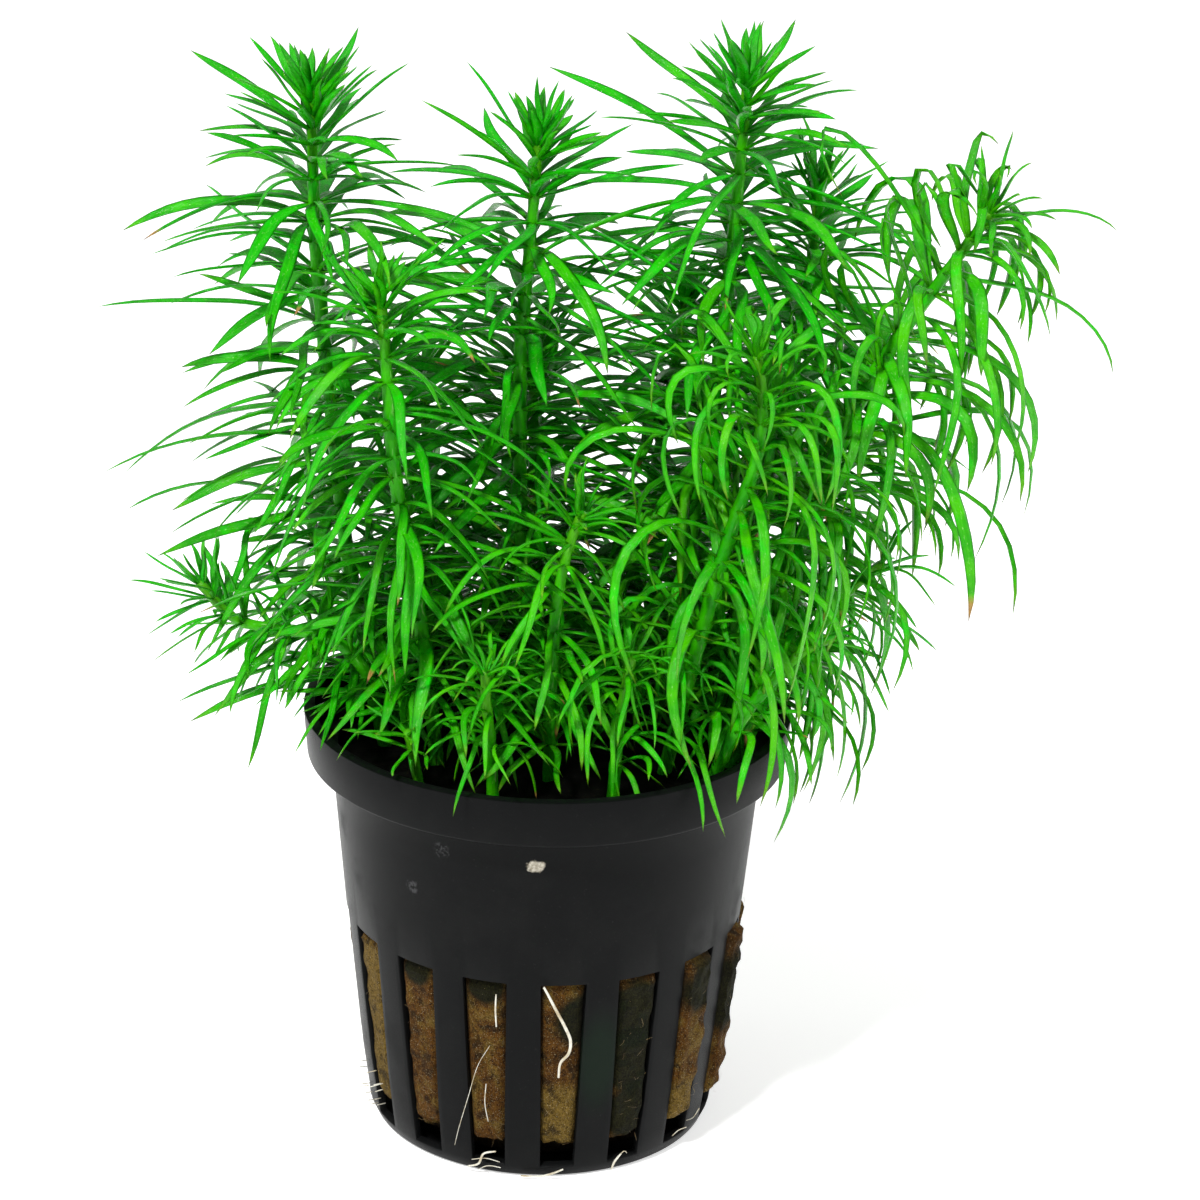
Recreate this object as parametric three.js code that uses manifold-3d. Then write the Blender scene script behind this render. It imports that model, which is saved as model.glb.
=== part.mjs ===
// A potted Pogostemon deccanensis: a slotted nursery pot, its wool plug, the leafy shoots and some roots.
// Millimetres, +Z up, with the front of the pot towards -Y. The origin is the centre of the pot's underside.

import * as THREE from 'three';
import { mergeVertices } from 'three/addons/utils/BufferGeometryUtils.js';
import Module from 'manifold-3d';

const wasm = await Module();
wasm.setup();

// Pot
const POT_HEIGHT = 50;
const RIM_RADIUS = 27.5;
const COLLAR_BOTTOM = 44.6;
const COLLAR_RADIUS = 27.1;
const LIP_WIDTH = 1.3;
// What leaves keep away from the rim's outside, so that they clear the lip's inside
const LIP_CLEARANCE = LIP_WIDTH + 0.2;
const WALL_TOP_RADIUS = 24.4;
const WALL_THICKNESS = 0.9;
const FLOOR_THICKNESS = 1.2;
const SOCKET_DEPTH = 3.8;
// The outer wall from the underside up, as [height, radius]
const WALL_PROFILE = [[0, 19.3], [1.5, 19.9], [26, 22.7], [COLLAR_BOTTOM, WALL_TOP_RADIUS]];
const POT_SEGMENTS = 44;

// Slots in the wall and in the floor
const SLOT_COUNT = 16;
const FIRST_SLOT_ANGLE = -83;
const SLOT_STEP = 360 / SLOT_COUNT;
const SLOT_BOTTOM = 1.6;
const SLOT_TOP = 25.8;
const SLOT_BOTTOM_WIDTH = 3.8;
const SLOT_TOP_WIDTH = 5.1;
const FLOOR_SLOT_COUNT = 8;
const FLOOR_SLOT_INNER = 8;
const FLOOR_SLOT_OUTER = 15;
const FLOOR_SLOT_WIDTH = 3.2;

// Gap between pieces that touch
const GAP = 0.3;

// Wool plug
const WOOL_SEGMENTS = 32;
const WOOL_TOP = 45.3;
const BULGE_BOTTOM = 4.2;
const BULGE_RECESS = -0.3;
const BULGE_SWELL = 1.2;
const BULGE_SIDE_ANGLE = -18;
// The slot wool's rings: how high each is above the bulge's bottom, and how full
const BULGE_RINGS = [[0, -0.8], [3, 0.1]];
const BULGE_TOP_FULLNESS = -0.2;
const BULGE_DEPTH = 4;
const BULGE_FLATNESS = 0.8;
// The plug's round edges, as [radius, height], and how far its top edge steps in
const PLUG_FOOT = [[13, 1.5], [17.4, 2.8]];
const PLUG_WALL_BOTTOM = 6;
const PLUG_WALL_TOP = 43;
const PLUG_TOP_STEP = 0.8;

// Shoots
const STEM_START = WOOL_TOP - 1;
const STEM_CUT = WOOL_TOP + GAP;
const STEM_RADIUS = 0.9;
const STEM_TIP_RADIUS = 0.6;
const STEM_SIDES = 5;
const STEM_STEP = 11;
const STEM_MIN_STEPS = 6;
const LEAF_THICKNESS = 0.45;
const LEAF_STEPS = 12;
// Where along a leaf its rings are, and their share of its width
const STRAIGHT_LEAF_RINGS = [[0.4, 1]];
const CURVED_LEAF_RINGS = [[0.3, 1], [0.68, 0.85]];
const CURVED_DROOP = 1;
const YOUNG_LEAF_LENGTH = 4.5;
const YOUNG_LEAF_WIDTH_SHARE = 0.75;
const YOUNG_PITCH = 62;
const YOUNG_DROOP = -0.5;
// How fast the leaves' pitch, length and droop change from the tip down
const PITCH_POWER = 0.7;
const LENGTH_POWER = 0.8;
const DROOP_POWER = 0.5;
// The whorls: how far the first is below the tip, the gaps between them and the leaves in each
const FIRST_WHORL = 0.8;
const YOUNG_WHORL_GAP = 1.4;
const GROWN_WHORL_GAP = 2.7;
const WHORL_LEAVES = 9;
// Each shoot's whorls start at an angle of their own, and their gaps are drawn from a seed of their own
const SEED_TURN = 17;
const GAP_SEED_SHIFT = 50;
const BARE_FOOT = 5;
// How much the leaves vary
const GAP_SPREAD = 0.5;
const TURN_SPREAD = 0.8;
const PITCH_SPREAD = 30;
const SHORTEST_LEAF = 0.75;
const LENGTH_SPREAD = 0.4;
const DROOP_SPREAD = 1.2;
const WIDTH_SPREAD = 0.6;
const CURL_SPREAD = 1.1;
const HOOK_SPREAD = 1;
// A few leaves are much longer than the rest
const LONG_LEAF_GAIN = 0.3;
const LONG_LEAF_POWER = 8;
// A leaf that would touch the pot is lifted and shortened by these steps
const SETTLE_ATTEMPTS = 6;
const SETTLE_DROOP = 0.7;
const SETTLE_LENGTH = 0.93;
const SETTLE_LIFT = 0.12;
// Which of the leaves the solids carry: those longer than a share of the grown length, those whose tips are
// out past a share of the shoot's reach, and some of the others
const SOLID_LONG_SHARE = 1.28;
const SOLID_REACH_SHARE = 0.94;
const SOLID_WHORL_STEP = 6;
const SOLID_LEAF_STEP = 3;

// Roots
const ROOT_CLEARANCE = GAP + 0.1;
const ROOT_TAPER = 0.6;
const ROOT_SIDES = 5;

// The steps of the even numbers that the leaves vary by
const SEED_FACTOR = 7919;
const DRAW_FACTOR = 48271;
const DRAW_LIMIT = 2147483647;

const radians = THREE.MathUtils.degToRad;
const lerp = THREE.MathUtils.lerp;

const blackPlastic = new THREE.MeshStandardMaterial({ color: 0x26282a, roughness: 0.4, metalness: 0 });
const wetWool = new THREE.MeshStandardMaterial({ color: 0x5a4a2c, roughness: 0.95, metalness: 0 });
const greenLeaf = new THREE.MeshStandardMaterial({ color: 0x37b10d, roughness: 0.4, metalness: 0 });
const whiteRoot = new THREE.MeshStandardMaterial({ color: 0xe4e0d0, roughness: 0.6, metalness: 0 });

// How grown leaves stand: pitch, droop, how late it sets in, and how far the tips tuck in under.
const HABITS = {
  spreading: { pitch: 20, droop: 0.9, hook: 0.9, tuck: 0 },
  arching: { pitch: 18, droop: 1.5, hook: 1, tuck: 0.1 },
  curling: { pitch: 35, droop: 2.6, hook: 1.3, tuck: 0.2 },
  hanging: { pitch: 30, droop: 3.6, hook: 1.9, tuck: 0.6 },
};

// Each shoot: its leaves' habit, grown length and width, the length of its crown of growing leaves, and the
// share of its grown leaves that it has kept. The path of its stem runs from just inside the wool to its tip.
const SHOOTS = [
  {
    name: 'shoot_back_left', seed: 31, habit: 'spreading', leaf: 20, width: 1.35, crown: 14, fill: 0.95,
    path: [[-17, 4], [-22, 4, 60], [-24.5, 6, 78.5], [-26.4, 7, 97], [-26.9, 7, 107], [-27.2, 7, 118.5]],
  },
  {
    name: 'shoot_centre_left', seed: 12, habit: 'spreading', leaf: 18, width: 1.35, crown: 11, fill: 0.95,
    path: [[-2.5, 3], [-3.2, 3, 62], [-3.8, 4, 79], [-3.9, 4, 91], [-3.2, 4, 101], [-2.3, 4, 115]],
  },
  {
    name: 'shoot_tallest', seed: 13, habit: 'spreading', leaf: 19, width: 1.4, crown: 11, fill: 0.95,
    path: [[12, 6], [14.5, 6, 61], [16.6, 6.5, 76], [18.3, 8, 91], [19.2, 8, 104], [20, 8, 121]],
  },
  {
    name: 'shoot_right_leaning', seed: 14, habit: 'hanging', leaf: 23, width: 1.2, crown: 8, fill: 0.65,
    path: [[19, 1], [26.5, 2, 66.5], [30.1, 1, 77.2], [34.1, -1, 89.1], [40.7, -3, 101], [46.2, -4, 109.9]],
  },
  {
    name: 'shoot_front_left', seed: 15, habit: 'arching', leaf: 18, width: 1.3, crown: 10, fill: 0.8,
    path: [
      [-12, -7], [-13.6, -8, 59], [-15.2, -9, 70],
      [-16.9, -10, 80.5], [-17.7, -10, 90], [-18.5, -10, 101],
    ],
  },
  {
    name: 'shoot_front_right', seed: 16, habit: 'hanging', leaf: 25, width: 1.15, crown: 9, fill: 0.65,
    path: [
      [13, -8], [17.5, -9, 66], [19.9, -10, 76.3],
      [21.8, -11, 83.1], [22.3, -12, 90], [21.5, -12, 95.6],
    ],
  },
  {
    name: 'shoot_low_left', seed: 17, habit: 'spreading', leaf: 12, width: 0.7, crown: 8, fill: 0.75,
    path: [
      [-18, -2], [-20.5, -4, 55], [-24.8, -4, 58.9],
      [-30.5, -4, 59.7], [-35, -4, 60.9], [-38.8, -4, 65],
    ],
  },
  {
    name: 'shoot_centre_small', seed: 18, habit: 'arching', leaf: 15, width: 0.85, crown: 5, fill: 0.7,
    path: [[0.5, -10.5], [0.5, -11.5, 60], [1.2, -12, 69], [2.3, -12, 74.2], [3.4, -12, 77.3]],
  },
  {
    name: 'rosette_front', seed: 19, habit: 'curling', leaf: 13, width: 0.65, crown: 3, fill: 0.5,
    path: [[-5.5, -16.5], [-5.9, -18, 53], [-6.4, -19, 58.2], [-6.5, -19, 61.6]],
  },
  {
    name: 'rosette_front_right', seed: 20, habit: 'curling', leaf: 14, width: 0.65, crown: 3, fill: 0.5,
    path: [[7.5, -15.5], [8, -16, 54], [8.6, -16.5, 59], [9.2, -17, 63.1]],
  },
  {
    name: 'rosette_left_rim', seed: 21, habit: 'spreading', leaf: 9, width: 0.65, crown: 2, fill: 0.6,
    path: [[-13.5, -14.5], [-14.2, -15.8, 49.5], [-14.9, -17, 53.4]],
  },
  {
    name: 'shoot_low_right', seed: 22, habit: 'arching', leaf: 14, width: 0.75, crown: 6, fill: 0.35,
    path: [[20.5, -6], [25.5, -5, 56], [32, -3, 64.5], [37, -1, 68.3]],
  },
  {
    name: 'rosette_right_rim', seed: 23, habit: 'hanging', leaf: 14, width: 0.75, crown: 4, fill: 0.35,
    path: [[17.5, -13], [21.5, -12.5, 54], [27, -10.5, 60.5], [31, -9, 62.5]],
  },
  {
    name: 'shoot_back_small', seed: 24, habit: 'spreading', leaf: 18, width: 1.25, crown: 11, fill: 0.8,
    path: [[-1.5, 11], [-2, 10.5, 62], [-2.3, 10, 76], [-2.6, 10, 89]],
  },
  {
    name: 'shoot_back_right', seed: 25, habit: 'spreading', leaf: 18, width: 1.25, crown: 11, fill: 0.8,
    path: [[20, 9.5], [23, 11, 62], [26, 12.5, 82], [28, 13, 98], [28.5, 13, 107.5]],
  },
  {
    name: 'shoot_back_middle', seed: 26, habit: 'spreading', leaf: 18, width: 1.25, crown: 10, fill: 0.8,
    path: [[8, 15], [10, 16.5, 62], [12.5, 18, 78], [14.5, 19, 92.5]],
  },
  {
    name: 'shoot_back_low_left', seed: 27, habit: 'arching', leaf: 18, width: 1.2, crown: 10, fill: 0.75,
    path: [[-11, 14], [-13, 16.5, 60], [-14.5, 18, 72], [-15.5, 19, 83]],
  },
  {
    name: 'rosette_back', seed: 28, habit: 'arching', leaf: 16, width: 0.95, crown: 4, fill: 0.6,
    path: [[-2, 20], [-2, 22, 55], [-1.5, 24, 64], [-1.2, 25, 69]],
  },
  {
    name: 'rosette_back_right', seed: 29, habit: 'arching', leaf: 16, width: 0.95, crown: 4, fill: 0.6,
    path: [[16.5, 15.5], [19.5, 18, 56], [22.5, 20.5, 63], [24.5, 22, 67]],
  },
  {
    name: 'rosette_back_left', seed: 30, habit: 'arching', leaf: 15, width: 0.9, crown: 4, fill: 0.6,
    path: [[-19.5, 9.5], [-22, 12, 54], [-25.5, 14.5, 60], [-28, 16, 63.5]],
  },
];

// Each root: its radius and its way over the wool and the wall, as [angle, height].
const ROOTS = [
  {
    name: 'root_main_slot',
    radius: 0.36,
    way: [
      [-88.6, 26], [-87.4, 25], [-85.1, 23], [-82.7, 21],
      [-80.8, 19], [-81.2, 17.3], [-83.4, 16.1], [-83.8, 14.2],
    ],
  },
  { name: 'root_short_slot', radius: 0.25, way: [[-101.7, 24.6], [-101.9, 22.6], [-101.7, 20.4]] },
  {
    name: 'root_over_rib',
    radius: 0.25,
    way: [[-103.7, 17.8], [-107.5, 14.8], [-110.7, 10.5], [-114.3, 6], [-116.2, 3.4]],
  },
  { name: 'root_base_front', radius: 0.3, way: [[-94.6, 0.5], [-89, 0.5], [-85, 0.9], [-81.2, 1.6]] },
  { name: 'root_base_left', radius: 0.3, way: [[-102.4, 3.7], [-106.4, 3.1], [-108.2, 1.6], [-112.2, 0.8]] },
  { name: 'root_base_right', radius: 0.3, way: [[-62.2, 2.7], [-64.2, 1.8], [-64.8, 0.6]] },
];

/** Turns a closed geometry into a solid that can be joined and cut. */
function solid(geometry) {
  const bare = geometry.index ? geometry.toNonIndexed() : geometry.clone();
  bare.deleteAttribute('normal');
  bare.deleteAttribute('uv');
  const merged = mergeVertices(bare, 1e-4);
  const corners = [];
  const index = merged.index.array;
  for (let i = 0; i < index.length; i += 3) {
    const [a, b, c] = [index[i], index[i + 1], index[i + 2]];
    if (a !== b && b !== c && c !== a) {
      corners.push(a, b, c);
    }
  }
  return new wasm.Manifold(new wasm.Mesh({
    numProp: 3,
    vertProperties: new Float32Array(merged.attributes.position.array),
    triVerts: new Uint32Array(corners),
  }));
}

/** Turns a joined and cut solid back into a geometry. */
function geometryOf(shape) {
  const mesh = shape.getMesh();
  const geometry = new THREE.BufferGeometry();
  geometry.setAttribute('position', new THREE.BufferAttribute(new Float32Array(mesh.vertProperties), 3));
  geometry.setIndex(new THREE.BufferAttribute(new Uint32Array(mesh.triVerts), 1));
  geometry.computeVertexNormals();
  return geometry;
}

/** Spins a closed outline of [radius, height] points about Z. */
function spun(outline, segments) {
  const points = outline.map(([radius, height]) => new THREE.Vector2(radius, height));
  return solid(new THREE.LatheGeometry(points, segments).rotateX(Math.PI / 2));
}

/** Joins rings of points into one closed skin. The first and the last ring may be a single point. */
function skin(rings) {
  const positions = [];
  const face = (...points) => points.forEach((point) => positions.push(point.x, point.y, point.z));
  const first = rings[0];
  for (let i = 1; i < first.length - 1; i += 1) {
    face(first[0], first[i + 1], first[i]);
  }
  for (let r = 0; r < rings.length - 1; r += 1) {
    const [low, high] = [rings[r], rings[r + 1]];
    const sides = Math.max(low.length, high.length);
    for (let i = 0; i < sides; i += 1) {
      const next = (i + 1) % sides;
      face(low[i % low.length], low[next % low.length], high[next % high.length]);
      face(low[i % low.length], high[next % high.length], high[i % high.length]);
    }
  }
  const last = rings[rings.length - 1];
  for (let i = 1; i < last.length - 1; i += 1) {
    face(last[0], last[i], last[i + 1]);
  }
  const geometry = new THREE.BufferGeometry();
  geometry.setAttribute('position', new THREE.Float32BufferAttribute(positions, 3));
  return solid(geometry);
}

/** A round bar along a curve, with its radius given at its start and its end. */
function bar(curve, startRadius, endRadius, sides, steps) {
  const frames = curve.computeFrenetFrames(steps, false);
  const rings = [];
  for (let s = 0; s <= steps; s += 1) {
    const centre = curve.getPointAt(s / steps);
    const radius = lerp(startRadius, endRadius, s / steps);
    const ring = [];
    for (let i = 0; i < sides; i += 1) {
      const turn = (2 * Math.PI * i) / sides;
      ring.push(centre.clone()
        .addScaledVector(frames.normals[s], radius * Math.cos(turn))
        .addScaledVector(frames.binormals[s], radius * Math.sin(turn)));
    }
    rings.push(ring);
  }
  return skin(rings);
}

/** The outer radius of the pot's wall at a height. */
function wallRadius(height) {
  const upper = Math.max(1, WALL_PROFILE.findIndex(([z]) => z >= height));
  const [[lowZ, lowRadius], [highZ, highRadius]] = [WALL_PROFILE[upper - 1], WALL_PROFILE[upper]];
  return lerp(lowRadius, highRadius, (height - lowZ) / (highZ - lowZ));
}

/** The width of a wall slot at a height. */
function slotWidth(height) {
  return lerp(SLOT_BOTTOM_WIDTH, SLOT_TOP_WIDTH, (height - SLOT_BOTTOM) / (SLOT_TOP - SLOT_BOTTOM));
}

/** The pot's body before its slots are cut: floor, tapered wall, stepped collar and thin lip. */
function potBody() {
  const outside = WALL_PROFILE.map(([z, radius]) => [radius, z]);
  const inside = WALL_PROFILE.slice(1).reverse().map(([z, radius]) => [radius - WALL_THICKNESS, z]);
  return spun([
    [0, 0],
    ...outside,
    [COLLAR_RADIUS, COLLAR_BOTTOM],
    [RIM_RADIUS, POT_HEIGHT],
    [RIM_RADIUS - LIP_WIDTH, POT_HEIGHT],
    [RIM_RADIUS - LIP_WIDTH, POT_HEIGHT - SOCKET_DEPTH],
    ...inside,
    [0, FLOOR_THICKNESS],
  ], POT_SEGMENTS);
}

/** A wedge that cuts one slot of the wall. */
function wallSlot(angle) {
  const outline = new THREE.Shape([
    new THREE.Vector2(-SLOT_BOTTOM_WIDTH / 2, SLOT_BOTTOM),
    new THREE.Vector2(SLOT_BOTTOM_WIDTH / 2, SLOT_BOTTOM),
    new THREE.Vector2(SLOT_TOP_WIDTH / 2, SLOT_TOP),
    new THREE.Vector2(-SLOT_TOP_WIDTH / 2, SLOT_TOP),
  ]);
  const inside = wallRadius(SLOT_BOTTOM) - 4 * WALL_THICKNESS;
  const wedge = new THREE.ExtrudeGeometry(outline, { depth: RIM_RADIUS - inside, bevelEnabled: false });
  return solid(wedge.translate(0, 0, inside).rotateX(Math.PI / 2).rotateZ(radians(angle + 90)));
}

/** A bar that cuts one slot of the floor. */
function floorSlot(angle) {
  const length = FLOOR_SLOT_OUTER - FLOOR_SLOT_INNER;
  const block = new THREE.BoxGeometry(length, FLOOR_SLOT_WIDTH, 4 * FLOOR_THICKNESS);
  return solid(block.translate(FLOOR_SLOT_INNER + length / 2, 0, 0).rotateZ(radians(angle)));
}

function pot() {
  const cuts = [];
  for (let i = 0; i < SLOT_COUNT; i += 1) {
    cuts.push(wallSlot(FIRST_SLOT_ANGLE + i * SLOT_STEP));
  }
  for (let i = 0; i < FLOOR_SLOT_COUNT; i += 1) {
    cuts.push(floorSlot((i * 360) / FLOOR_SLOT_COUNT));
  }
  return potBody().subtract(wasm.Manifold.union(cuts));
}

/** How far the wool stands out past the wall in the slot at an angle. */
function bulge(angle) {
  const towardsSide = Math.max(0, Math.cos(radians(angle - BULGE_SIDE_ANGLE)));
  return BULGE_RECESS + BULGE_SWELL * towardsSide ** 4;
}

/** The wool that presses into one slot. */
function woolInSlot(angle) {
  const top = SLOT_TOP - GAP;
  const levels = [
    ...BULGE_RINGS.map(([rise, fullness]) => [BULGE_BOTTOM + rise, fullness]),
    [top, BULGE_TOP_FULLNESS],
  ];
  const rings = levels.map(([z, fullness]) => {
    const half = slotWidth(z) / 2 - GAP;
    const front = wallRadius(z) + bulge(angle) + fullness;
    const back = wallRadius(z) - BULGE_DEPTH;
    return [[back, -half], [front, -BULGE_FLATNESS * half], [front, BULGE_FLATNESS * half], [back, half]].map(
      ([x, y]) => new THREE.Vector3(x, y, z).applyAxisAngle(new THREE.Vector3(0, 0, 1), radians(angle)),
    );
  });
  return skin(rings);
}

function woolPlug() {
  const clearance = WALL_THICKNESS + GAP;
  const topRadius = wallRadius(PLUG_WALL_TOP) - clearance;
  const core = spun([
    [0, FLOOR_THICKNESS + GAP],
    ...PLUG_FOOT,
    [wallRadius(PLUG_WALL_BOTTOM) - clearance, PLUG_WALL_BOTTOM],
    [topRadius, PLUG_WALL_TOP],
    [topRadius - PLUG_TOP_STEP, WOOL_TOP],
    [0, WOOL_TOP],
  ], WOOL_SEGMENTS);
  const parts = [core];
  for (let i = 0; i < SLOT_COUNT; i += 1) {
    parts.push(woolInSlot(FIRST_SLOT_ANGLE + i * SLOT_STEP));
  }
  return wasm.Manifold.union(parts);
}

/** A root that runs over the wool and the wall, just clear of both. */
function root({ radius, way }) {
  const points = way.map(([angle, z]) => {
    const reach = wallRadius(z) + ROOT_CLEARANCE + radius;
    return new THREE.Vector3(reach * Math.cos(radians(angle)), reach * Math.sin(radians(angle)), z);
  });
  return bar(new THREE.CatmullRomCurve3(points), radius, radius * ROOT_TAPER, ROOT_SIDES, way.length + 2);
}

/** Even numbers between 0 and 1, always the same ones for a seed. */
function numbers(seed) {
  let state = seed * SEED_FACTOR;
  return () => {
    state = (state * DRAW_FACTOR) % DRAW_LIMIT;
    return state / DRAW_LIMIT;
  };
}

/** The middle line of a shoot's stem, whose path starts on the wool. */
function stemCurve({ path }) {
  const points = path.map(([x, y, z = STEM_START]) => new THREE.Vector3(x, y, z));
  return new THREE.CatmullRomCurve3(points, false, 'catmullrom');
}

/** How grown a leaf is, from 0 at the stem's tip to 1, by its distance below the tip. */
function maturity(shoot, age) {
  return Math.min(1, age / shoot.crown);
}

/** How far below the tip each whorl is. */
function whorlAges(shoot, stemLength) {
  const next = numbers(shoot.seed + GAP_SEED_SHIFT);
  const ages = [];
  let age = FIRST_WHORL;
  while (age < stemLength - BARE_FOOT) {
    ages.push(age);
    const gap = lerp(YOUNG_WHORL_GAP, GROWN_WHORL_GAP, maturity(shoot, age));
    age += gap * (1 + GAP_SPREAD * (next() - 0.5));
  }
  return ages;
}

/** The direction of a leaf that leaves a stem at an angle round it and a pitch above its cross-section. */
function leafDirection(along, turn, pitch) {
  const right = new THREE.Vector3(0, 1, 0).cross(along).normalize();
  const back = along.clone().cross(right);
  const outward = right.multiplyScalar(Math.cos(radians(turn)));
  outward.addScaledVector(back, Math.sin(radians(turn)));
  return outward.multiplyScalar(Math.cos(radians(pitch))).addScaledVector(along, Math.sin(radians(pitch)));
}

/** A leaf's middle line. It curls sideways, droops ever more by its hook, and tucks in under itself. */
function leafLine({ start, direction, side, length, droop, curl, hook, tuck }) {
  const outward = new THREE.Vector3(direction.x, direction.y, 0).normalize();
  const points = [start.clone()];
  for (let step = 0; step < LEAF_STEPS; step += 1) {
    const place = (step + 0.5) / LEAF_STEPS;
    const pull = droop * place ** hook;
    const heading = direction.clone().addScaledVector(side, curl * place);
    heading.addScaledVector(outward, -tuck * Math.max(0, pull) * place);
    heading.z -= pull;
    heading.normalize();
    points.push(points[step].clone().addScaledVector(heading, length / LEAF_STEPS));
  }
  return points;
}

/** Whether a ball of a radius at a point is clear of the pot's rim and walls and of the wool. */
function clearOfPot(point, radius) {
  const reach = Math.hypot(point.x, point.y);
  const above = point.z - radius > POT_HEIGHT + GAP;
  const outside = reach - radius > RIM_RADIUS + GAP && point.z > GAP;
  const inside = reach + radius < RIM_RADIUS - LIP_CLEARANCE - GAP && point.z - radius > WOOL_TOP + GAP;
  return above || outside || inside;
}

/** A leaf, lifted off the pot where it would touch it, or null where it can't be. */
function settledLeaf(leaf) {
  for (let attempt = 0; attempt < SETTLE_ATTEMPTS; attempt += 1) {
    const line = leafLine(leaf);
    if (line.every((point) => clearOfPot(point, leaf.width / 2))) {
      return { ...leaf, line };
    }
    leaf.droop *= SETTLE_DROOP;
    leaf.length *= SETTLE_LENGTH;
    leaf.direction.z += SETTLE_LIFT;
    leaf.direction.normalize();
  }
  return null;
}

/** The leaves of one whorl, spread round the stem. A grown whorl has lost some of them. */
function whorlLeaves(shoot, whorl, age, next) {
  const grown = maturity(shoot, age);
  const habit = HABITS[shoot.habit];
  const vary = (spread) => 1 + spread * (next() - 0.5);
  const leaves = [];
  for (let i = 0; i < WHORL_LEAVES; i += 1) {
    const kept = next() < lerp(1, shoot.fill, grown);
    const place = i + whorl / 2 + TURN_SPREAD * (next() - 0.5);
    const turn = (place * 360) / WHORL_LEAVES + shoot.seed * SEED_TURN;
    const pitch = lerp(YOUNG_PITCH, habit.pitch, grown ** PITCH_POWER) + PITCH_SPREAD * (next() - 0.5);
    const share = next();
    const stretch = SHORTEST_LEAF + LENGTH_SPREAD * share + LONG_LEAF_GAIN * share ** LONG_LEAF_POWER;
    const leaf = {
      whorl,
      age,
      turn,
      pitch,
      length: lerp(YOUNG_LEAF_LENGTH, shoot.leaf, grown ** LENGTH_POWER) * stretch,
      droop: lerp(YOUNG_DROOP, habit.droop, grown ** DROOP_POWER) * vary(DROOP_SPREAD),
      width: shoot.width * lerp(YOUNG_LEAF_WIDTH_SHARE, 1, grown) * vary(WIDTH_SPREAD),
      curl: grown * CURL_SPREAD * (next() - 0.5),
      hook: habit.hook * vary(HOOK_SPREAD),
      tuck: habit.tuck,
    };
    if (kept) {
      leaves.push(leaf);
    }
  }
  return leaves;
}

/** All leaves of a shoot, whorl by whorl from the tip down. */
function leavesOf(shoot) {
  const curve = stemCurve(shoot);
  const stemLength = curve.getLength();
  const next = numbers(shoot.seed);
  const whorls = whorlAges(shoot, stemLength).map((age, whorl) => whorlLeaves(shoot, whorl, age, next));
  const grown = whorls.flat().map((leaf) => {
    const u = 1 - leaf.age / stemLength;
    const direction = leafDirection(curve.getTangentAt(u), leaf.turn, leaf.pitch);
    const side = direction.clone().cross(new THREE.Vector3(0, 0, 1)).normalize();
    return settledLeaf({ ...leaf, start: curve.getPointAt(u), direction, side });
  });
  return grown.filter((leaf) => leaf);
}

/** Balls that fill a leaf, two to each of its steps, to keep it clear of the other shoots. */
function ballsOf({ line, width }) {
  return line.slice(1).flatMap((point, i) => (
    [point, point.clone().lerp(line[i], 0.5)].map((middle) => ({ point: middle, radius: width / 2 }))
  ));
}

function clearOf(balls, others) {
  return balls.every(({ point, radius }) => others.every(
    (other) => point.distanceTo(other.point) > radius + other.radius + GAP,
  ));
}

/** A leaf as a solid: a flat blade with a keel under its middle, pointed at both ends. */
function leafSolid({ line, width, side, droop }) {
  const at = (place) => {
    const exact = place * LEAF_STEPS;
    const low = Math.min(LEAF_STEPS - 1, Math.floor(exact));
    const point = line[low].clone().lerp(line[low + 1], exact - low);
    return { point, ahead: line[low + 1].clone().sub(line[low]) };
  };
  const rings = (droop > CURVED_DROOP ? CURVED_LEAF_RINGS : STRAIGHT_LEAF_RINGS).map(([place, share]) => {
    const { point, ahead } = at(place);
    const down = ahead.normalize().cross(side).normalize();
    const half = (width * share) / 2;
    return [
      point.clone().addScaledVector(side, half),
      point.clone().addScaledVector(side, -half),
      point.clone().addScaledVector(down, -LEAF_THICKNESS),
    ];
  });
  return skin([[line[0]], ...rings, [line[LEAF_STEPS]]]);
}

/** How far a leaf's tip is from the pot's axis. */
function reachOf({ line }) {
  return Math.hypot(line[LEAF_STEPS].x, line[LEAF_STEPS].y);
}

/** The leaves that a shoot's solid carries: the longest, those furthest out and some others. */
function chosenLeaves(shoot, taken) {
  const leaves = leavesOf(shoot);
  const furthest = Math.max(...leaves.map(reachOf));
  return leaves.filter((leaf, i) => {
    const inWhorl = leaf.whorl % SOLID_WHORL_STEP === 0 && i % SOLID_LEAF_STEP === 0;
    const isLong = leaf.length > SOLID_LONG_SHARE * shoot.leaf;
    const reachesOut = reachOf(leaf) > SOLID_REACH_SHARE * furthest;
    return (isLong || inWhorl || reachesOut) && clearOf(ballsOf(leaf), taken);
  });
}

function stemBalls(shoot) {
  const curve = stemCurve(shoot);
  return curve.getSpacedPoints(Math.ceil(curve.getLength())).map((point) => ({ point, radius: STEM_RADIUS }));
}

function stemSolid(shoot) {
  const curve = stemCurve(shoot);
  const steps = Math.max(STEM_MIN_STEPS, Math.ceil(curve.getLength() / STEM_STEP));
  return bar(curve, STEM_RADIUS, STEM_TIP_RADIUS, STEM_SIDES, steps);
}

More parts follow.
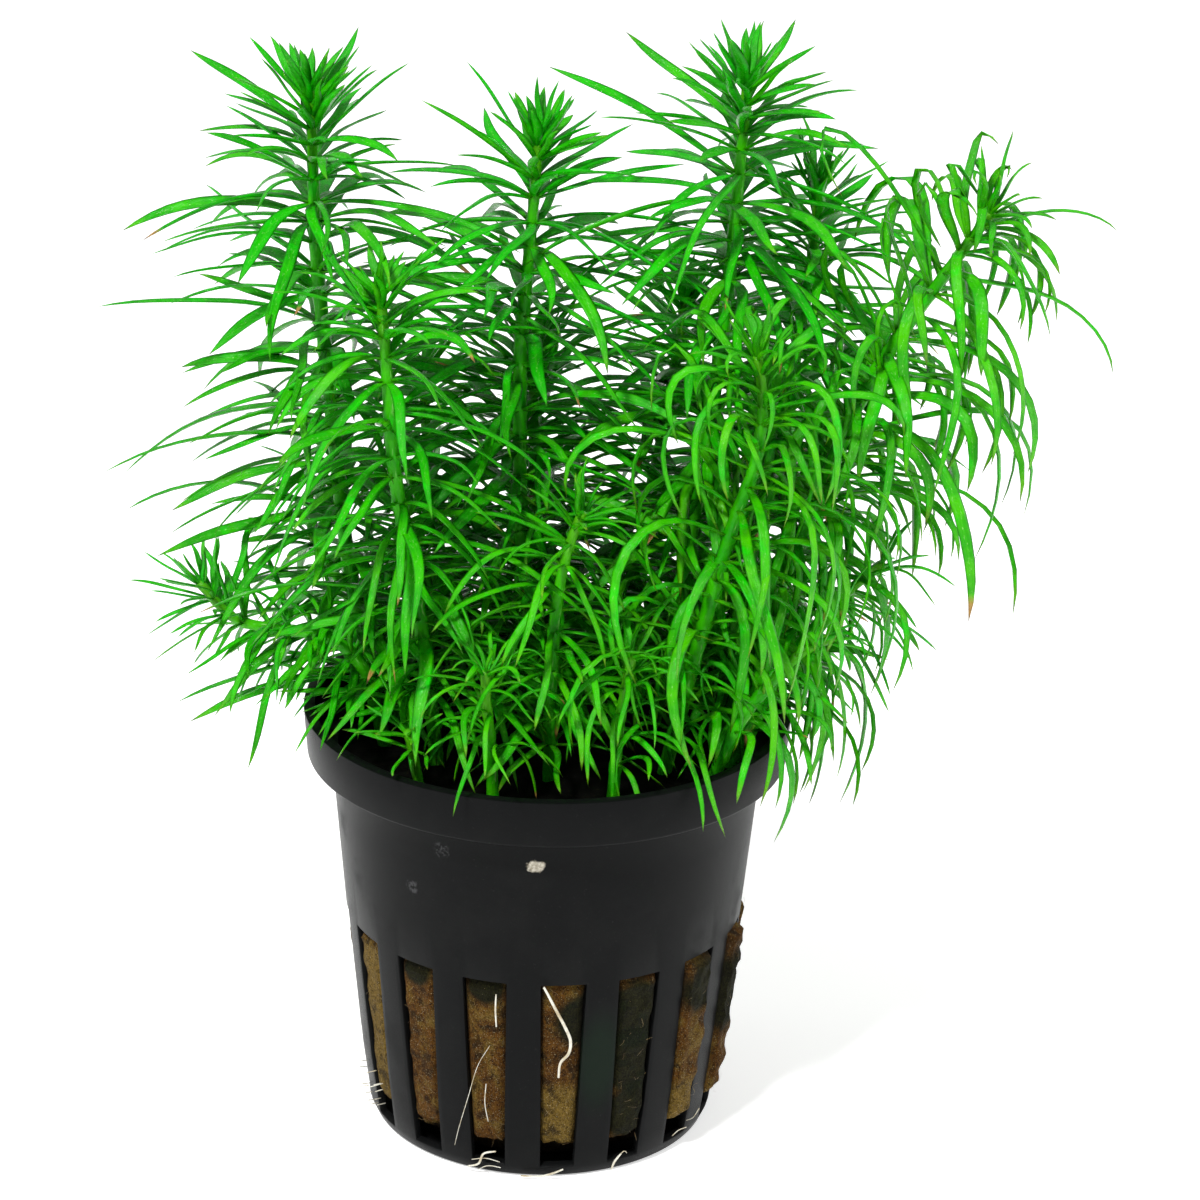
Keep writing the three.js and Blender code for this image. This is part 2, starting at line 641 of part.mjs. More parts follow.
/** Every shoot as one solid, stem and leaves together, each clear of the ones before it. */
function shootSolids() {
  const stems = SHOOTS.map(stemBalls);
  const leafBalls = SHOOTS.map(() => []);
  return SHOOTS.map((shoot, own) => {
    const taken = [...stems, ...leafBalls].filter((balls, i) => i % SHOOTS.length !== own).flat();
    const leaves = chosenLeaves(shoot, taken);
    leafBalls[own] = leaves.flatMap(ballsOf);
    return wasm.Manifold.union([stemSolid(shoot), ...leaves.map(leafSolid)]).trimByPlane([0, 0, 1], STEM_CUT);
  });
}

const group = new THREE.Group();

function add(name, shape, material) {
  const mesh = new THREE.Mesh(geometryOf(shape), material);
  mesh.name = name;
  group.add(mesh);
}

add('pot', pot(), blackPlastic);
add('wool_plug', woolPlug(), wetWool);
shootSolids().forEach((shape, i) => add(SHOOTS[i].name, shape, greenLeaf));
ROOTS.forEach((each) => add(each.name, root(each), whiteRoot));

export default group;
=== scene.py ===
"""A potted Pogostemon deccanensis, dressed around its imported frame.

The net pot, the wool, the leafy shoots and the roots are modelled here in millimetres and made in metres.
"""

import math

import bmesh
import bpy
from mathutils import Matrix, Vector, noise

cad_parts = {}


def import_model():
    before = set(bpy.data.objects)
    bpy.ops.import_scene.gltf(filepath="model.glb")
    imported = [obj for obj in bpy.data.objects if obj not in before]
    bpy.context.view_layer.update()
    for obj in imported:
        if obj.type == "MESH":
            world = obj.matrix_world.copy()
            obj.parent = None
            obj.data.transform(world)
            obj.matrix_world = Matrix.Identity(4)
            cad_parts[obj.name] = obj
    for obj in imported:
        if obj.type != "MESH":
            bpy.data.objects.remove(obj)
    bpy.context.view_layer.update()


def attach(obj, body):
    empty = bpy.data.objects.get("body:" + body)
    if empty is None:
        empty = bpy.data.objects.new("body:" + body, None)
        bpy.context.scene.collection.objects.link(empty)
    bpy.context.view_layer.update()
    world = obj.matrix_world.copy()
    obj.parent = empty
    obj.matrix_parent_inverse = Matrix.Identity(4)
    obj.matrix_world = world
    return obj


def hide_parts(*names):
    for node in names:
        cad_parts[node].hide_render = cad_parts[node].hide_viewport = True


MM = 0.001
UP = Vector((0, 0, 1))
BACKWARD = Vector((0, 1, 0))

# Camera, as the photograph was taken
IMAGE_SIDE = 1200
FOCAL_PIXELS = 3975.5
SENSOR_WIDTH = 36.0
CAMERA_ELEVATION = 21.58
CAMERA_DISTANCE = 443.9
CAMERA_ROLL = 1.555
CAMERA_AIM = (5.56, 0.0, 62.59)
CLIP_START = 10.0

# Studio, in metres and watts. The air is darker towards -Y, where the camera stands.
FLOOR_SIZE = 12.0
LIGHT_AIM = (0.0, 0.0, 0.06)
LIGHTS = {
    "key_light": dict(place=(-0.30, -0.55, 0.90), size=(0.12, 0.12), power=11),
    "left_panel": dict(place=(-0.80, 0.05, 0.30), size=(0.25, 0.7), power=0.5),
    "right_panel": dict(place=(0.80, 0.0, 0.30), size=(0.25, 0.7), power=3),
}
AIR_SPAN = {"From Min": -0.95, "From Max": -0.45, "To Min": 0.15, "To Max": 0.5}

# Pot
POT_HEIGHT = 50.0
RIM_RADIUS = 27.5
COLLAR_BOTTOM = 44.6
COLLAR_RADIUS = 27.1
COLLAR_EDGE_WIDTH = 0.1
COLLAR_EDGE_HEIGHT = 0.3
LIP_WIDTH = 1.3
# How far inside the rim's radius leaves stay, so that they clear the lip
LIP_CLEARANCE = LIP_WIDTH + 0.2
WALL_THICKNESS = 0.9
# The outer wall from the underside up, as (height, radius)
WALL_PROFILE = [(0.0, 19.3), (1.5, 19.9), (9.0, 20.95), (26.0, 22.7), (COLLAR_BOTTOM, 24.4)]
EDGE_ROUNDING = 0.16
ROUNDED_ANGLE = 38.0
SMOOTH_ANGLE = 35.0

# Slots in the wall and in the floor
SLOT_COUNT = 16
FIRST_SLOT_ANGLE = -83.0
SLOT_STEP = 360 / SLOT_COUNT
SLOT_BOTTOM = 1.6
SLOT_TOP = 25.8
SLOT_BOTTOM_WIDTH = 3.8
SLOT_TOP_WIDTH = 5.1
FLOOR_SLOT_COUNT = 8
FLOOR_SLOT_INNER = 8.0
FLOOR_SLOT_OUTER = 15.0

# The pot's skin: its columns of faces, how many of them half a slot takes, and its rings
POT_COLUMNS = 192
COLUMN_STEP = 360 / POT_COLUMNS
SLOT_HALF_COLUMNS = 3
FLOOR_SLOT_HALF_COLUMNS = 4
FLOOR_EDGE_RINGS = [(18.7, 0.0), (19.3, 0.25)]
WALL_RING_HEIGHTS = [SLOT_BOTTOM, 4.0, 9.0, 14.0, 20.0, SLOT_TOP, 32.0, 39.0, COLLAR_BOTTOM]
# How far off the floor's or a slot's height a point may be
FLOOR_TOLERANCE = 0.1
SLOT_TOLERANCE = 0.01

# Marks on the pot, as (angle, height), and how the crust and the smear are stretched
CRUST = (-91.3, 41.0)
CRUST_STRETCH = (0.75, 1.0, 1.25)
SMUDGE = (-117.0, 41.4)
CHIP = (-126.9, 35.6)
SMEAR = (-71.5, 15.5)
SMEAR_STRETCH = (1.0, 1.0, 0.42)
# Noise from 0 to 1 mm makes the marks ragged, and moves them by its middle
RAGGED_SHIFT = Vector((0.5, 0.5, 0.5))

# Wool
GAP = 0.3
WOOL_TOP = 45.3
WOOL_FOOT = 1.6
WOOL_RECESS = WALL_THICKNESS + 0.15
WOOL_COLUMNS = 288
WOOL_RING_HEIGHTS = [1.7, 2.2, 3.0, 3.8, 4.6, 5.4] + [6.2 + 0.8 * i for i in range(48)] + [44.6, WOOL_TOP]
WOOL_CENTRE_RADIUS = 0.01
WOOL_TOP_RADIUS = 22.0
WOOL_TOP_SHARES = (0.8, 0.55, 0.3, 0.1)
WOOL_SHOULDER_HEIGHT = 1.2
WOOL_SHOULDER_WIDTH = 1.0
# The ragged lower edge: its height, how far the wool steps back below it, and the step's two ends
WOOL_EDGE = 4.4
WOOL_EDGE_RECESS = 2.2
WOOL_EDGE_BELOW = 1.0
WOOL_EDGE_ABOVE = 0.3
# How the wool swells into a slot: soft edges at its sides, bottom and top, and how far it comes
SWELL_INSIDE_EDGE = 0.7
SWELL_OUTSIDE_EDGE = 0.1
SWELL_START = 1.6
SWELL_FULL = 4.0
SWELL_TOP = 1.0
SWELL_DEPTH = WALL_THICKNESS - 0.1
# The side where it bulges most: its angle, how fast the bulge falls off, and how far it comes
BULGE_SIDE_ANGLE = -18.0
BULGE_SIDE_POWER = 4
BULGE_SIDE_DEPTH = 1.1
# Lumps, coarse and fine, as (scale, height): on the sides, along the lower edge and on the top
SIDE_LUMPS = ((0.45, 0.5), (1.3, 0.25))
EDGE_LUMPS = ((0.8, 1.3), (2.2, 0.8))
TOP_LUMPS = ((0.35, 0.5), (1.1, 0.25))
LUMP_SHARE = 0.6
BULGE_LUMP_SHARE = 1.1

# Where the wool is tan and where algae darken it: the angle, the height, the radius and the soft edge
TAN_PATCHES = [
    (-150.0, 19.0, 5.0, 2.0), (-150.0, 9.0, 4.0, 2.0), (-83.0, 8.0, 3.6, 2.0), (-38.0, 7.0, 2.2, 2.0),
]
TAN_STRENGTH = 0.85
ALGAE_PATCHES = [
    (-60.5, 21.0, 3.6, 1.5), (-60.5, 15.0, 3.4, 1.6), (-58.0, 8.0, 3.2, 1.6), (-75.5, 21.0, 3.0, 1.6),
    (-36.0, 22.0, 2.6, 1.8), (-105.5, 25.0, 1.8, 1.2), (-128.0, 25.0, 1.5, 1.2), (-15.5, 18.0, 4.0, 3.0),
]
ALGAE_STRENGTH = 0.94

# Loose fibres on the wool
FIBRE_SEED = 77
FIBRES_PER_SLOT = 26
FIBRE_HEIGHTS = (SLOT_BOTTOM + 2.4, SLOT_TOP - 0.6)
FIBRE_HEIGHT_POWER = 1.2
FIBRE_SIDE_MARGIN = 1.1
FIBRE_OUT = -0.42
FIBRE_BULGE = 1.2
FIBRE_OUT_SPREAD = 0.3
FIBRE_LENGTHS = (0.5, 1.3)
FIBRE_BEND = 0.4
FIBRE_RADIUS = 0.014
FIBRE_SIDES = 3
FIBRE_STEP = 0.4

# Stems, and how they swell where a whorl grows
STEM_START = WOOL_TOP - 1
STEM_RADIUS = 0.8
STEM_TIP_RADIUS = 0.5
STEM_TAPER_LENGTH = 30.0
STEM_TAPER_POWER = 0.7
STEM_SIDES = 12
STEM_STEP = 0.6
STEM_AGE_SCALE = 100
NODE_SWELLING = 0.16
NODE_LENGTH = 0.9
BARE_FOOT = 5.0

# The whorls: how far the first is below the tip, the gaps between them and the leaves in each
FIRST_WHORL = 0.8
YOUNG_WHORL_GAP = 1.4
GROWN_WHORL_GAP = 2.7
WHORL_LEAVES = 9
# A shoot's whorls are turned by its seed. Their gaps and their leaves' looks have seeds of their own.
SEED_TURN = 17
GAP_SEED_SHIFT = 50
LOOK_SEED_SHIFT = 100

# Leaves: their form along their length, and how the youngest ones stand
LEAF_STEPS = 12
LEAF_THICKNESS = 0.22
TIP_THICKNESS_SHARE = 0.45
LEAF_WAVE = 0.14
LEAF_WAVE_TURNS = 8.0
LEAF_TWIST = 2.2
FOOT_WIDTH_SHARE = 0.5
WIDEST_PLACE = 0.3
YOUNG_LEAF_LENGTH = 4.5
YOUNG_LEAF_WIDTH_SHARE = 0.75
YOUNG_PITCH = 62.0
YOUNG_DROOP = -0.5
# How fast the leaves' pitch, length and droop change from the tip down
PITCH_POWER = 0.7
LENGTH_POWER = 0.8
DROOP_POWER = 0.5
# Leaves are blunt on a shoot with a short crown and taper evenly on one with a long crown
BLUNT_POWER = 6.0
TAPERED_POWER = 3.0
SHORT_CROWN = 4.0
LONG_CROWN = 11.0
# How much the leaves vary
GAP_SPREAD = 0.5
TURN_SPREAD = 0.8
PITCH_SPREAD = 30
SHORTEST_LEAF = 0.75
LENGTH_SPREAD = 0.4
DROOP_SPREAD = 1.2
WIDTH_SPREAD = 0.6
CURL_SPREAD = 1.1
HOOK_SPREAD = 1
# A few leaves are much longer than the rest
LONG_LEAF_GAIN = 0.3
LONG_LEAF_POWER = 8
# A leaf that would touch the pot is lifted and shortened by these steps
SETTLE_ATTEMPTS = 6
SETTLE_DROOP = 0.7
SETTLE_LENGTH = 0.93
SETTLE_LIFT = 0.12
# Their looks: how far they warm, from what age they may brown, how rare that is, and when they look old
WARMTH_SPREAD = 0.5
OLD_LEAF_AGE = 7.0
BROWNING_START = 0.93
FULL_AGE = 45

# The finishes of a shoot, by their places in its materials
BLADE_FINISH = 0
STEM_FINISH = 1

# A ring of a leaf: how far out each point is, and how high, as shares of half its width, then its thickness
BLADE_RING = [
    (-1.0, 0.22, 0.0), (-0.5, 0.06, 0.5), (0.0, -0.10, 0.5),
    (0.5, 0.06, 0.5), (1.0, 0.22, 0.0), (0.0, -0.14, -0.9),
]
BLADE_ACROSS = [0.0, 0.25, 0.5, 0.75, 1.0, 0.5, 0.0]

# How grown leaves stand: their pitch, their droop, how late it sets in, and how far their tips tuck in under
HABITS = {
    "spreading": dict(pitch=20, droop=0.9, hook=0.9, tuck=0.0),
    "arching": dict(pitch=18, droop=1.5, hook=1.0, tuck=0.1),
    "curling": dict(pitch=35, droop=2.6, hook=1.3, tuck=0.2),
    "hanging": dict(pitch=30, droop=3.6, hook=1.9, tuck=0.6),
}

# The shoots. A path's points are (x, y, height). The first is in the wool, at STEM_START.
SHOOT_FIELDS = ("node", "seed", "habit", "leaf", "width", "crown", "warmth", "fill", "path")
SHOOT_ROWS = [
    ("shoot_back_left", 31, "spreading", 20, 1.35, 14, 0.1, 0.95,
     [(-17, 4), (-22, 4, 60), (-24.5, 6, 78.5), (-26.4, 7, 97), (-26.9, 7, 107), (-27.2, 7, 118.5)]),
    ("shoot_centre_left", 12, "spreading", 18, 1.35, 11, 0.05, 0.95,
     [(-2.5, 3), (-3.2, 3, 62), (-3.8, 4, 79), (-3.9, 4, 91), (-3.2, 4, 101), (-2.3, 4, 115)]),
    ("shoot_tallest", 13, "spreading", 19, 1.4, 11, 0.1, 0.95,
     [(12, 6), (14.5, 6, 61), (16.6, 6.5, 76), (18.3, 8, 91), (19.2, 8, 104), (20, 8, 121)]),
    ("shoot_right_leaning", 14, "hanging", 23, 1.2, 8, 0.55, 0.65,
     [(19, 1), (26.5, 2, 66.5), (30.1, 1, 77.2), (34.1, -1, 89.1), (40.7, -3, 101), (46.2, -4, 109.9)]),
    ("shoot_front_left", 15, "arching", 18, 1.3, 10, 0.25, 0.8,
     [(-12, -7), (-13.6, -8, 59), (-15.2, -9, 70), (-16.9, -10, 80.5), (-17.7, -10, 90), (-18.5, -10, 101)]),
    ("shoot_front_right", 16, "hanging", 25, 1.15, 9, 0.55, 0.65,
     [(13, -8), (17.5, -9, 66), (19.9, -10, 76.3), (21.8, -11, 83.1), (22.3, -12, 90), (21.5, -12, 95.6)]),
    ("shoot_low_left", 17, "spreading", 12, 0.7, 8, 0.2, 0.75,
     [(-18, -2), (-20.5, -4, 55), (-24.8, -4, 58.9), (-30.5, -4, 59.7), (-35, -4, 60.9), (-38.8, -4, 65)]),
    ("shoot_centre_small", 18, "arching", 15, 0.85, 5, 0.5, 0.7,
     [(0.5, -10.5), (0.5, -11.5, 60), (1.2, -12, 69), (2.3, -12, 74.2), (3.4, -12, 77.3)]),
    ("rosette_front", 19, "curling", 13, 0.65, 3, 0.6, 0.5,
     [(-5.5, -16.5), (-5.9, -18, 53), (-6.4, -19, 58.2), (-6.5, -19, 61.6)]),
    ("rosette_front_right", 20, "curling", 14, 0.65, 3, 0.45, 0.5,
     [(7.5, -15.5), (8, -16, 54), (8.6, -16.5, 59), (9.2, -17, 63.1)]),
    ("rosette_left_rim", 21, "spreading", 9, 0.65, 2, 0.5, 0.6,
     [(-13.5, -14.5), (-14.2, -15.8, 49.5), (-14.9, -17, 53.4)]),
    ("shoot_low_right", 22, "arching", 14, 0.75, 6, 0.35, 0.35,
     [(20.5, -6), (25.5, -5, 56), (32, -3, 64.5), (37, -1, 68.3)]),
    ("rosette_right_rim", 23, "hanging", 14, 0.75, 4, 0.35, 0.35,
     [(17.5, -13), (21.5, -12.5, 54), (27, -10.5, 60.5), (31, -9, 62.5)]),
    ("shoot_back_small", 24, "spreading", 18, 1.25, 11, 0.1, 0.8,
     [(-1.5, 11), (-2, 10.5, 62), (-2.3, 10, 76), (-2.6, 10, 89)]),
    ("shoot_back_right", 25, "spreading", 18, 1.25, 11, 0.1, 0.8,
     [(20, 9.5), (23, 11, 62), (26, 12.5, 82), (28, 13, 98), (28.5, 13, 107.5)]),
    ("shoot_back_middle", 26, "spreading", 18, 1.25, 10, 0.1, 0.8,
     [(8, 15), (10, 16.5, 62), (12.5, 18, 78), (14.5, 19, 92.5)]),
    ("shoot_back_low_left", 27, "arching", 18, 1.2, 10, 0.2, 0.75,
     [(-11, 14), (-13, 16.5, 60), (-14.5, 18, 72), (-15.5, 19, 83)]),
    ("rosette_back", 28, "arching", 16, 0.95, 4, 0.4, 0.6,
     [(-2, 20), (-2, 22, 55), (-1.5, 24, 64), (-1.2, 25, 69)]),
    ("rosette_back_right", 29, "arching", 16, 0.95, 4, 0.4, 0.6,
     [(16.5, 15.5), (19.5, 18, 56), (22.5, 20.5, 63), (24.5, 22, 67)]),
    ("rosette_back_left", 30, "arching", 15, 0.9, 4, 0.4, 0.6,
     [(-19.5, 9.5), (-22, 12, 54), (-25.5, 14.5, 60), (-28, 16, 63.5)]),
]
SHOOTS = [dict(zip(SHOOT_FIELDS, row)) for row in SHOOT_ROWS]

# Roots: radius, and the way over the wool and the wall as (angle, height)
ROOTS = {
    "root_main_slot": (0.36, [
        (-88.6, 26), (-87.4, 25), (-85.1, 23), (-82.7, 21),
        (-80.8, 19), (-81.2, 17.3), (-83.4, 16.1), (-83.8, 14.2),
    ]),
    "root_short_slot": (0.25, [(-101.7, 24.6), (-101.9, 22.6), (-101.7, 20.4)]),
    "root_over_rib": (0.25, [(-103.7, 17.8), (-107.5, 14.8), (-110.7, 10.5), (-114.3, 6), (-116.2, 3.4)]),
    "root_base_front": (0.3, [(-94.6, 0.5), (-89, 0.5), (-85, 0.9), (-81.2, 1.6)]),
    "root_base_left": (0.3, [(-102.4, 3.7), (-106.4, 3.1), (-108.2, 1.6), (-112.2, 0.8)]),
    "root_base_right": (0.3, [(-62.2, 2.7), (-64.2, 1.8), (-64.8, 0.6)]),
}

# A root's true radius, as a share of its solid's, and the share of that at its ends
ROOT_SHARE = 0.42
ROOT_SHARES = {"root_main_slot": 0.5, "root_over_rib": 0.16}
ROOT_END_SHARE = 0.7
ROOT_SIDES = 10
ROOT_STEP = 0.3

# Roots too thin for the solids, as (angle, height, distance from the wall)
FINE_ROOT_RADIUS = 0.055
FINE_ROOT_SIDES = 5
FINE_ROOTS = [
    [(-105.2, 12.5, 0.3), (-105.6, 10.0, 0.4), (-104.8, 7.5, 0.3)],
    [(-110.8, 1.8, 0.3), (-106.0, 2.4, 0.4), (-101.4, 2.1, 0.3)],
    [(-109.2, 0.4, 0.3), (-105.2, 1.4, 0.4), (-101.1, 1.3, 0.3)],
    [(-62.3, 2.3, 0.3), (-61.0, 2.9, 0.5), (-60.2, 2.6, 0.6)],
    [(-40.0, 2.2, 0.2), (-39.0, 3.0, 0.7), (-37.5, 3.4, 1.3)],
    [(-33.0, 3.2, 0.2), (-32.0, 3.6, 0.8), (-31.0, 4.8, 1.2)],
]

# Hairs that stand out from the slots at the pot's left
HAIR_SEED = 41
HAIR_COUNT = 14
HAIR_ANGLES = (-172.0, -146.0)
HAIR_HEIGHTS = (2.5, 8.0)
HAIR_LENGTH = 1.5
SHORTEST_HAIR_SHARE = 0.4
HAIR_RISE = 1.2
HAIR_START = 0.1
HAIR_MIDDLE_SHARE = 0.6

# The steps of the even numbers that the leaves vary by
SEED_FACTOR = 7919
DRAW_FACTOR = 48271
DRAW_LIMIT = 2147483647

WHITE = (1.0, 1.0, 1.0, 1.0)
# Where a piece's skin has no tone of its own
PLAIN_TONE = (0.5, 0.5, 0.0)
# A direction that no stem, root or fibre runs along. A tube's first ring is set out across it.
TUBE_REFERENCE = Vector((0.3, 0.9, 0.2))


def lerp(a, b, share):
    return a + (b - a) * share


def smooth(low, high, value):
    """0 below a span, 1 above it, and an even rise between."""
    share = min(1.0, max(0.0, (value - low) / (high - low)))
    return share * share * (3 - 2 * share)


def around(reach, angle, height):
    """A point by its distance from the pot's axis, its angle in degrees and its height."""
    return Vector((reach * math.cos(math.radians(angle)), reach * math.sin(math.radians(angle)), height))


def wall_radius(height):
    for (low_z, low_r), (high_z, high_r) in zip(WALL_PROFILE, WALL_PROFILE[1:]):
        if height <= high_z:
            return lerp(low_r, high_r, (height - low_z) / (high_z - low_z))
    return WALL_PROFILE[-1][1]


def on_wall(angle, height, out=0.0):
    """A point on the pot's wall, or as far out from it as said."""
    return around(wall_radius(height) + out, angle, height)


def slot_width(height):
    return lerp(SLOT_BOTTOM_WIDTH, SLOT_TOP_WIDTH, (height - SLOT_BOTTOM) / (SLOT_TOP - SLOT_BOTTOM))


# Materials

class Finish:
    """A material under construction, with short ways to add and join its nodes."""

    def __init__(self, name, **sockets):
        self.material = bpy.data.materials.new(name)
        self.material.use_nodes = True
        self.tree = self.material.node_tree
        self.shader = self.tree.nodes["Principled BSDF"]
        self.set(self.shader, sockets)

    def set(self, node, sockets):
        for name, value in sockets.items():
            socket = node.inputs[name]
            if isinstance(value, bpy.types.NodeSocket):
                self.tree.links.new(value, socket)
            else:
                socket.default_value = value

    def node(self, kind, sockets=None, **settings):
        node = self.tree.nodes.new("ShaderNode" + kind)
        for name, value in settings.items():
            setattr(node, name, value)
        self.set(node, sockets or {})
        return node

    def position(self):
        """The place on the piece, in millimetres."""
        place = self.node("TexCoord").outputs["Object"]
        return self.node("VectorMath", {0: place, "Scale": 1 / MM}, operation="SCALE").outputs[0]

    def noise(self, vector, scale, detail=3.0, roughness=0.5, distortion=0.0):
        sockets = {"Vector": vector, "Scale": scale, "Detail": detail, "Roughness": roughness}
        return self.node("TexNoise", {**sockets, "Distortion": distortion}).outputs["Fac"]

    def stretched(self, vector, scale):
        return self.node("Mapping", {"Vector": vector, "Scale": scale}).outputs[0]

    def math(self, operation, a, b=0.0, c=0.0):
        return self.node("Math", {0: a, 1: b, 2: c}, operation=operation).outputs[0]

    def times(self, a, b):
        return self.math("MULTIPLY", a, b)

    def span(self, value, low, high, to_low=0.0, to_high=1.0):
        """Maps low..high onto to_low..to_high, smoothly and with ends."""
        sockets = {"Value": value, "From Min": low, "From Max": high, "To Min": to_low, "To Max": to_high}
        return self.node("MapRange", sockets, interpolation_type="SMOOTHSTEP").outputs[0]

    def mix(self, share, a, b):
        return self.node("Mix", {0: share, 6: a, 7: b}, data_type="RGBA").outputs[2]

    def near(self, vector, point, radius, soft):
        """1 inside a ball round a point, falling to 0 over the soft distance."""
        away = self.node("VectorMath", {0: vector, 1: point}, operation="DISTANCE").outputs["Value"]
        return self.span(away, radius, radius + soft, 1.0, 0.0)

    def bump(self, height, distance, strength=1.0):
        sockets = {"Height": height, "Distance": distance, "Strength": strength}
        self.set(self.shader, {"Normal": self.node("Bump", sockets).outputs[0]})

    def colour(self, socket):
        self.set(self.shader, {"Base Color": socket})


def colour(red, green, blue):
    return (red, green, blue, 1.0)


def blade_colour(leaf, uv, place):
    """A leaf's green over its body, rib and edges, then its tip, which browns on some, and small painted
    glints. Its rib is paler, with a painted highlight.
    """
    across, along = leaf.node("SeparateXYZ", {0: uv}).outputs[:2]
    tone = leaf.node("Attribute", attribute_name="tone").outputs["Color"]
    warmth, age, browning = leaf.node("SeparateColor", {0: tone}).outputs[:3]
    off_rib = leaf.math("ABSOLUTE", leaf.math("SUBTRACT", across, 0.5))

    fresh = leaf.mix(warmth, colour(0.001, 0.46, 0.0), colour(0.075, 0.48, 0.0))
    aged = leaf.mix(leaf.span(age, 0.3, 1.0, 0.0, 0.4), fresh, colour(0.05, 0.34, 0.001))
    cloud = leaf.span(leaf.noise(place, 0.3, 3.0), 0.38, 0.62)
    body = leaf.mix(leaf.times(cloud, 0.7), aged, colour(0.004, 0.28, 0.001))
    bright = leaf.span(leaf.noise(leaf.stretched(place, (1.0, 1.0, 0.5)), 0.55, 2.0), 0.55, 0.72)
    lively = leaf.mix(leaf.times(bright, 0.6), body, colour(0.0, 0.58, 0.0))
    footed = leaf.mix(leaf.span(along, 0.0, 0.12, 0.5, 0.0), lively, colour(0.12, 0.30, 0.008))
    # Lighter along the rib: partly a paler rib, partly a painted highlight.
    rib_paled_and_highlit = leaf.mix(leaf.span(off_rib, 0.02, 0.09, 0.25, 0.0), footed, colour(0.06, 0.55, 0.01))
    rimmed = leaf.mix(leaf.span(off_rib, 0.36, 0.5, 0.0, 0.55), rib_paled_and_highlit, colour(0.004, 0.13, 0.001))

    yellowing = leaf.times(leaf.span(along, 0.84, 1.0), leaf.times(warmth, 0.7))
    yellowed = leaf.mix(yellowing, rimmed, colour(0.22, 0.30, 0.01))
    darkened = leaf.mix(leaf.span(along, 0.95, 1.0, 0.0, 0.6), yellowed, colour(0.06, 0.09, 0.010))
    browned = leaf.math("ADD", along, leaf.times(browning, 0.16))
    tanned = leaf.mix(leaf.span(browned, 0.99, 1.05), darkened, colour(0.40, 0.22, 0.06))
    ended = leaf.mix(leaf.span(browned, 1.08, 1.13), tanned, colour(0.085, 0.035, 0.015))

    # Painted highlight: pale specks along the rib stand in for glints of light.
    grains = leaf.span(leaf.noise(leaf.stretched(uv, (5.0, 22.0, 1.0)), 1.6, 2.0, 0.6), 0.60, 0.70)
    painted_glints = leaf.times(grains, leaf.span(off_rib, 0.05, 0.3, 0.55, 0.05))
    return leaf.mix(painted_glints, ended, colour(0.48, 0.80, 0.28))


def leaf_finish():
    leaf = Finish("leaf_blade", **{"Specular IOR Level": 0.19})
    uv = leaf.node("UVMap", uv_map="blade").outputs[0]
    place = leaf.position()
    leaf.colour(blade_colour(leaf, uv, place))
    cells = leaf.noise(place, 4.5, 2.0, 0.6)
    streaks = leaf.noise(leaf.stretched(uv, (9.0, 2.0, 1.0)), 2.0, 2.0)
    wet = leaf.span(leaf.noise(place, 0.5, 2.0), 0.42, 0.62)
    leaf.set(leaf.shader, {"Roughness": leaf.span(wet, 0.0, 1.0, 0.34, 0.14)})
    leaf.bump(leaf.math("ADD", cells, leaf.times(streaks, 0.7)), 0.00012, 0.75)
    return leaf.material


def stem_finish():
    stem = Finish("stem_skin", **{"Roughness": 0.42, "Specular IOR Level": 0.3})
    uv = stem.node("UVMap", uv_map="blade").outputs[0]
    age = stem.node("SeparateXYZ", {0: uv}).outputs[1]
    place = stem.position()
    young = stem.mix(stem.span(age, 0.02, 0.10), colour(0.02, 0.30, 0.002), colour(0.10, 0.21, 0.01))
    old = stem.mix(stem.span(age, 0.14, 0.36), young, colour(0.16, 0.12, 0.03))
    streaks = stem.noise(stem.stretched(place, (3.0, 3.0, 0.5)), 1.0, 3.0)
    stem.colour(stem.mix(stem.span(streaks, 0.4, 0.7, 0.0, 0.45), old, colour(0.22, 0.30, 0.05)))
    stem.bump(stem.noise(stem.stretched(place, (4.0, 4.0, 0.8)), 1.0, 3.0), 0.0001, 0.7)
    return stem.material


def pot_mark(pot, ragged, mark, radius, soft, stretch=(1.0, 1.0, 1.0)):
    """A mark with a ragged outline on the wall. It is shorter along an axis whose stretch is over 1."""
    centre = on_wall(*mark) + RAGGED_SHIFT
    stretched_centre = [value * factor for value, factor in zip(centre, stretch)]
    return pot.near(pot.stretched(ragged, stretch), stretched_centre, radius, soft)


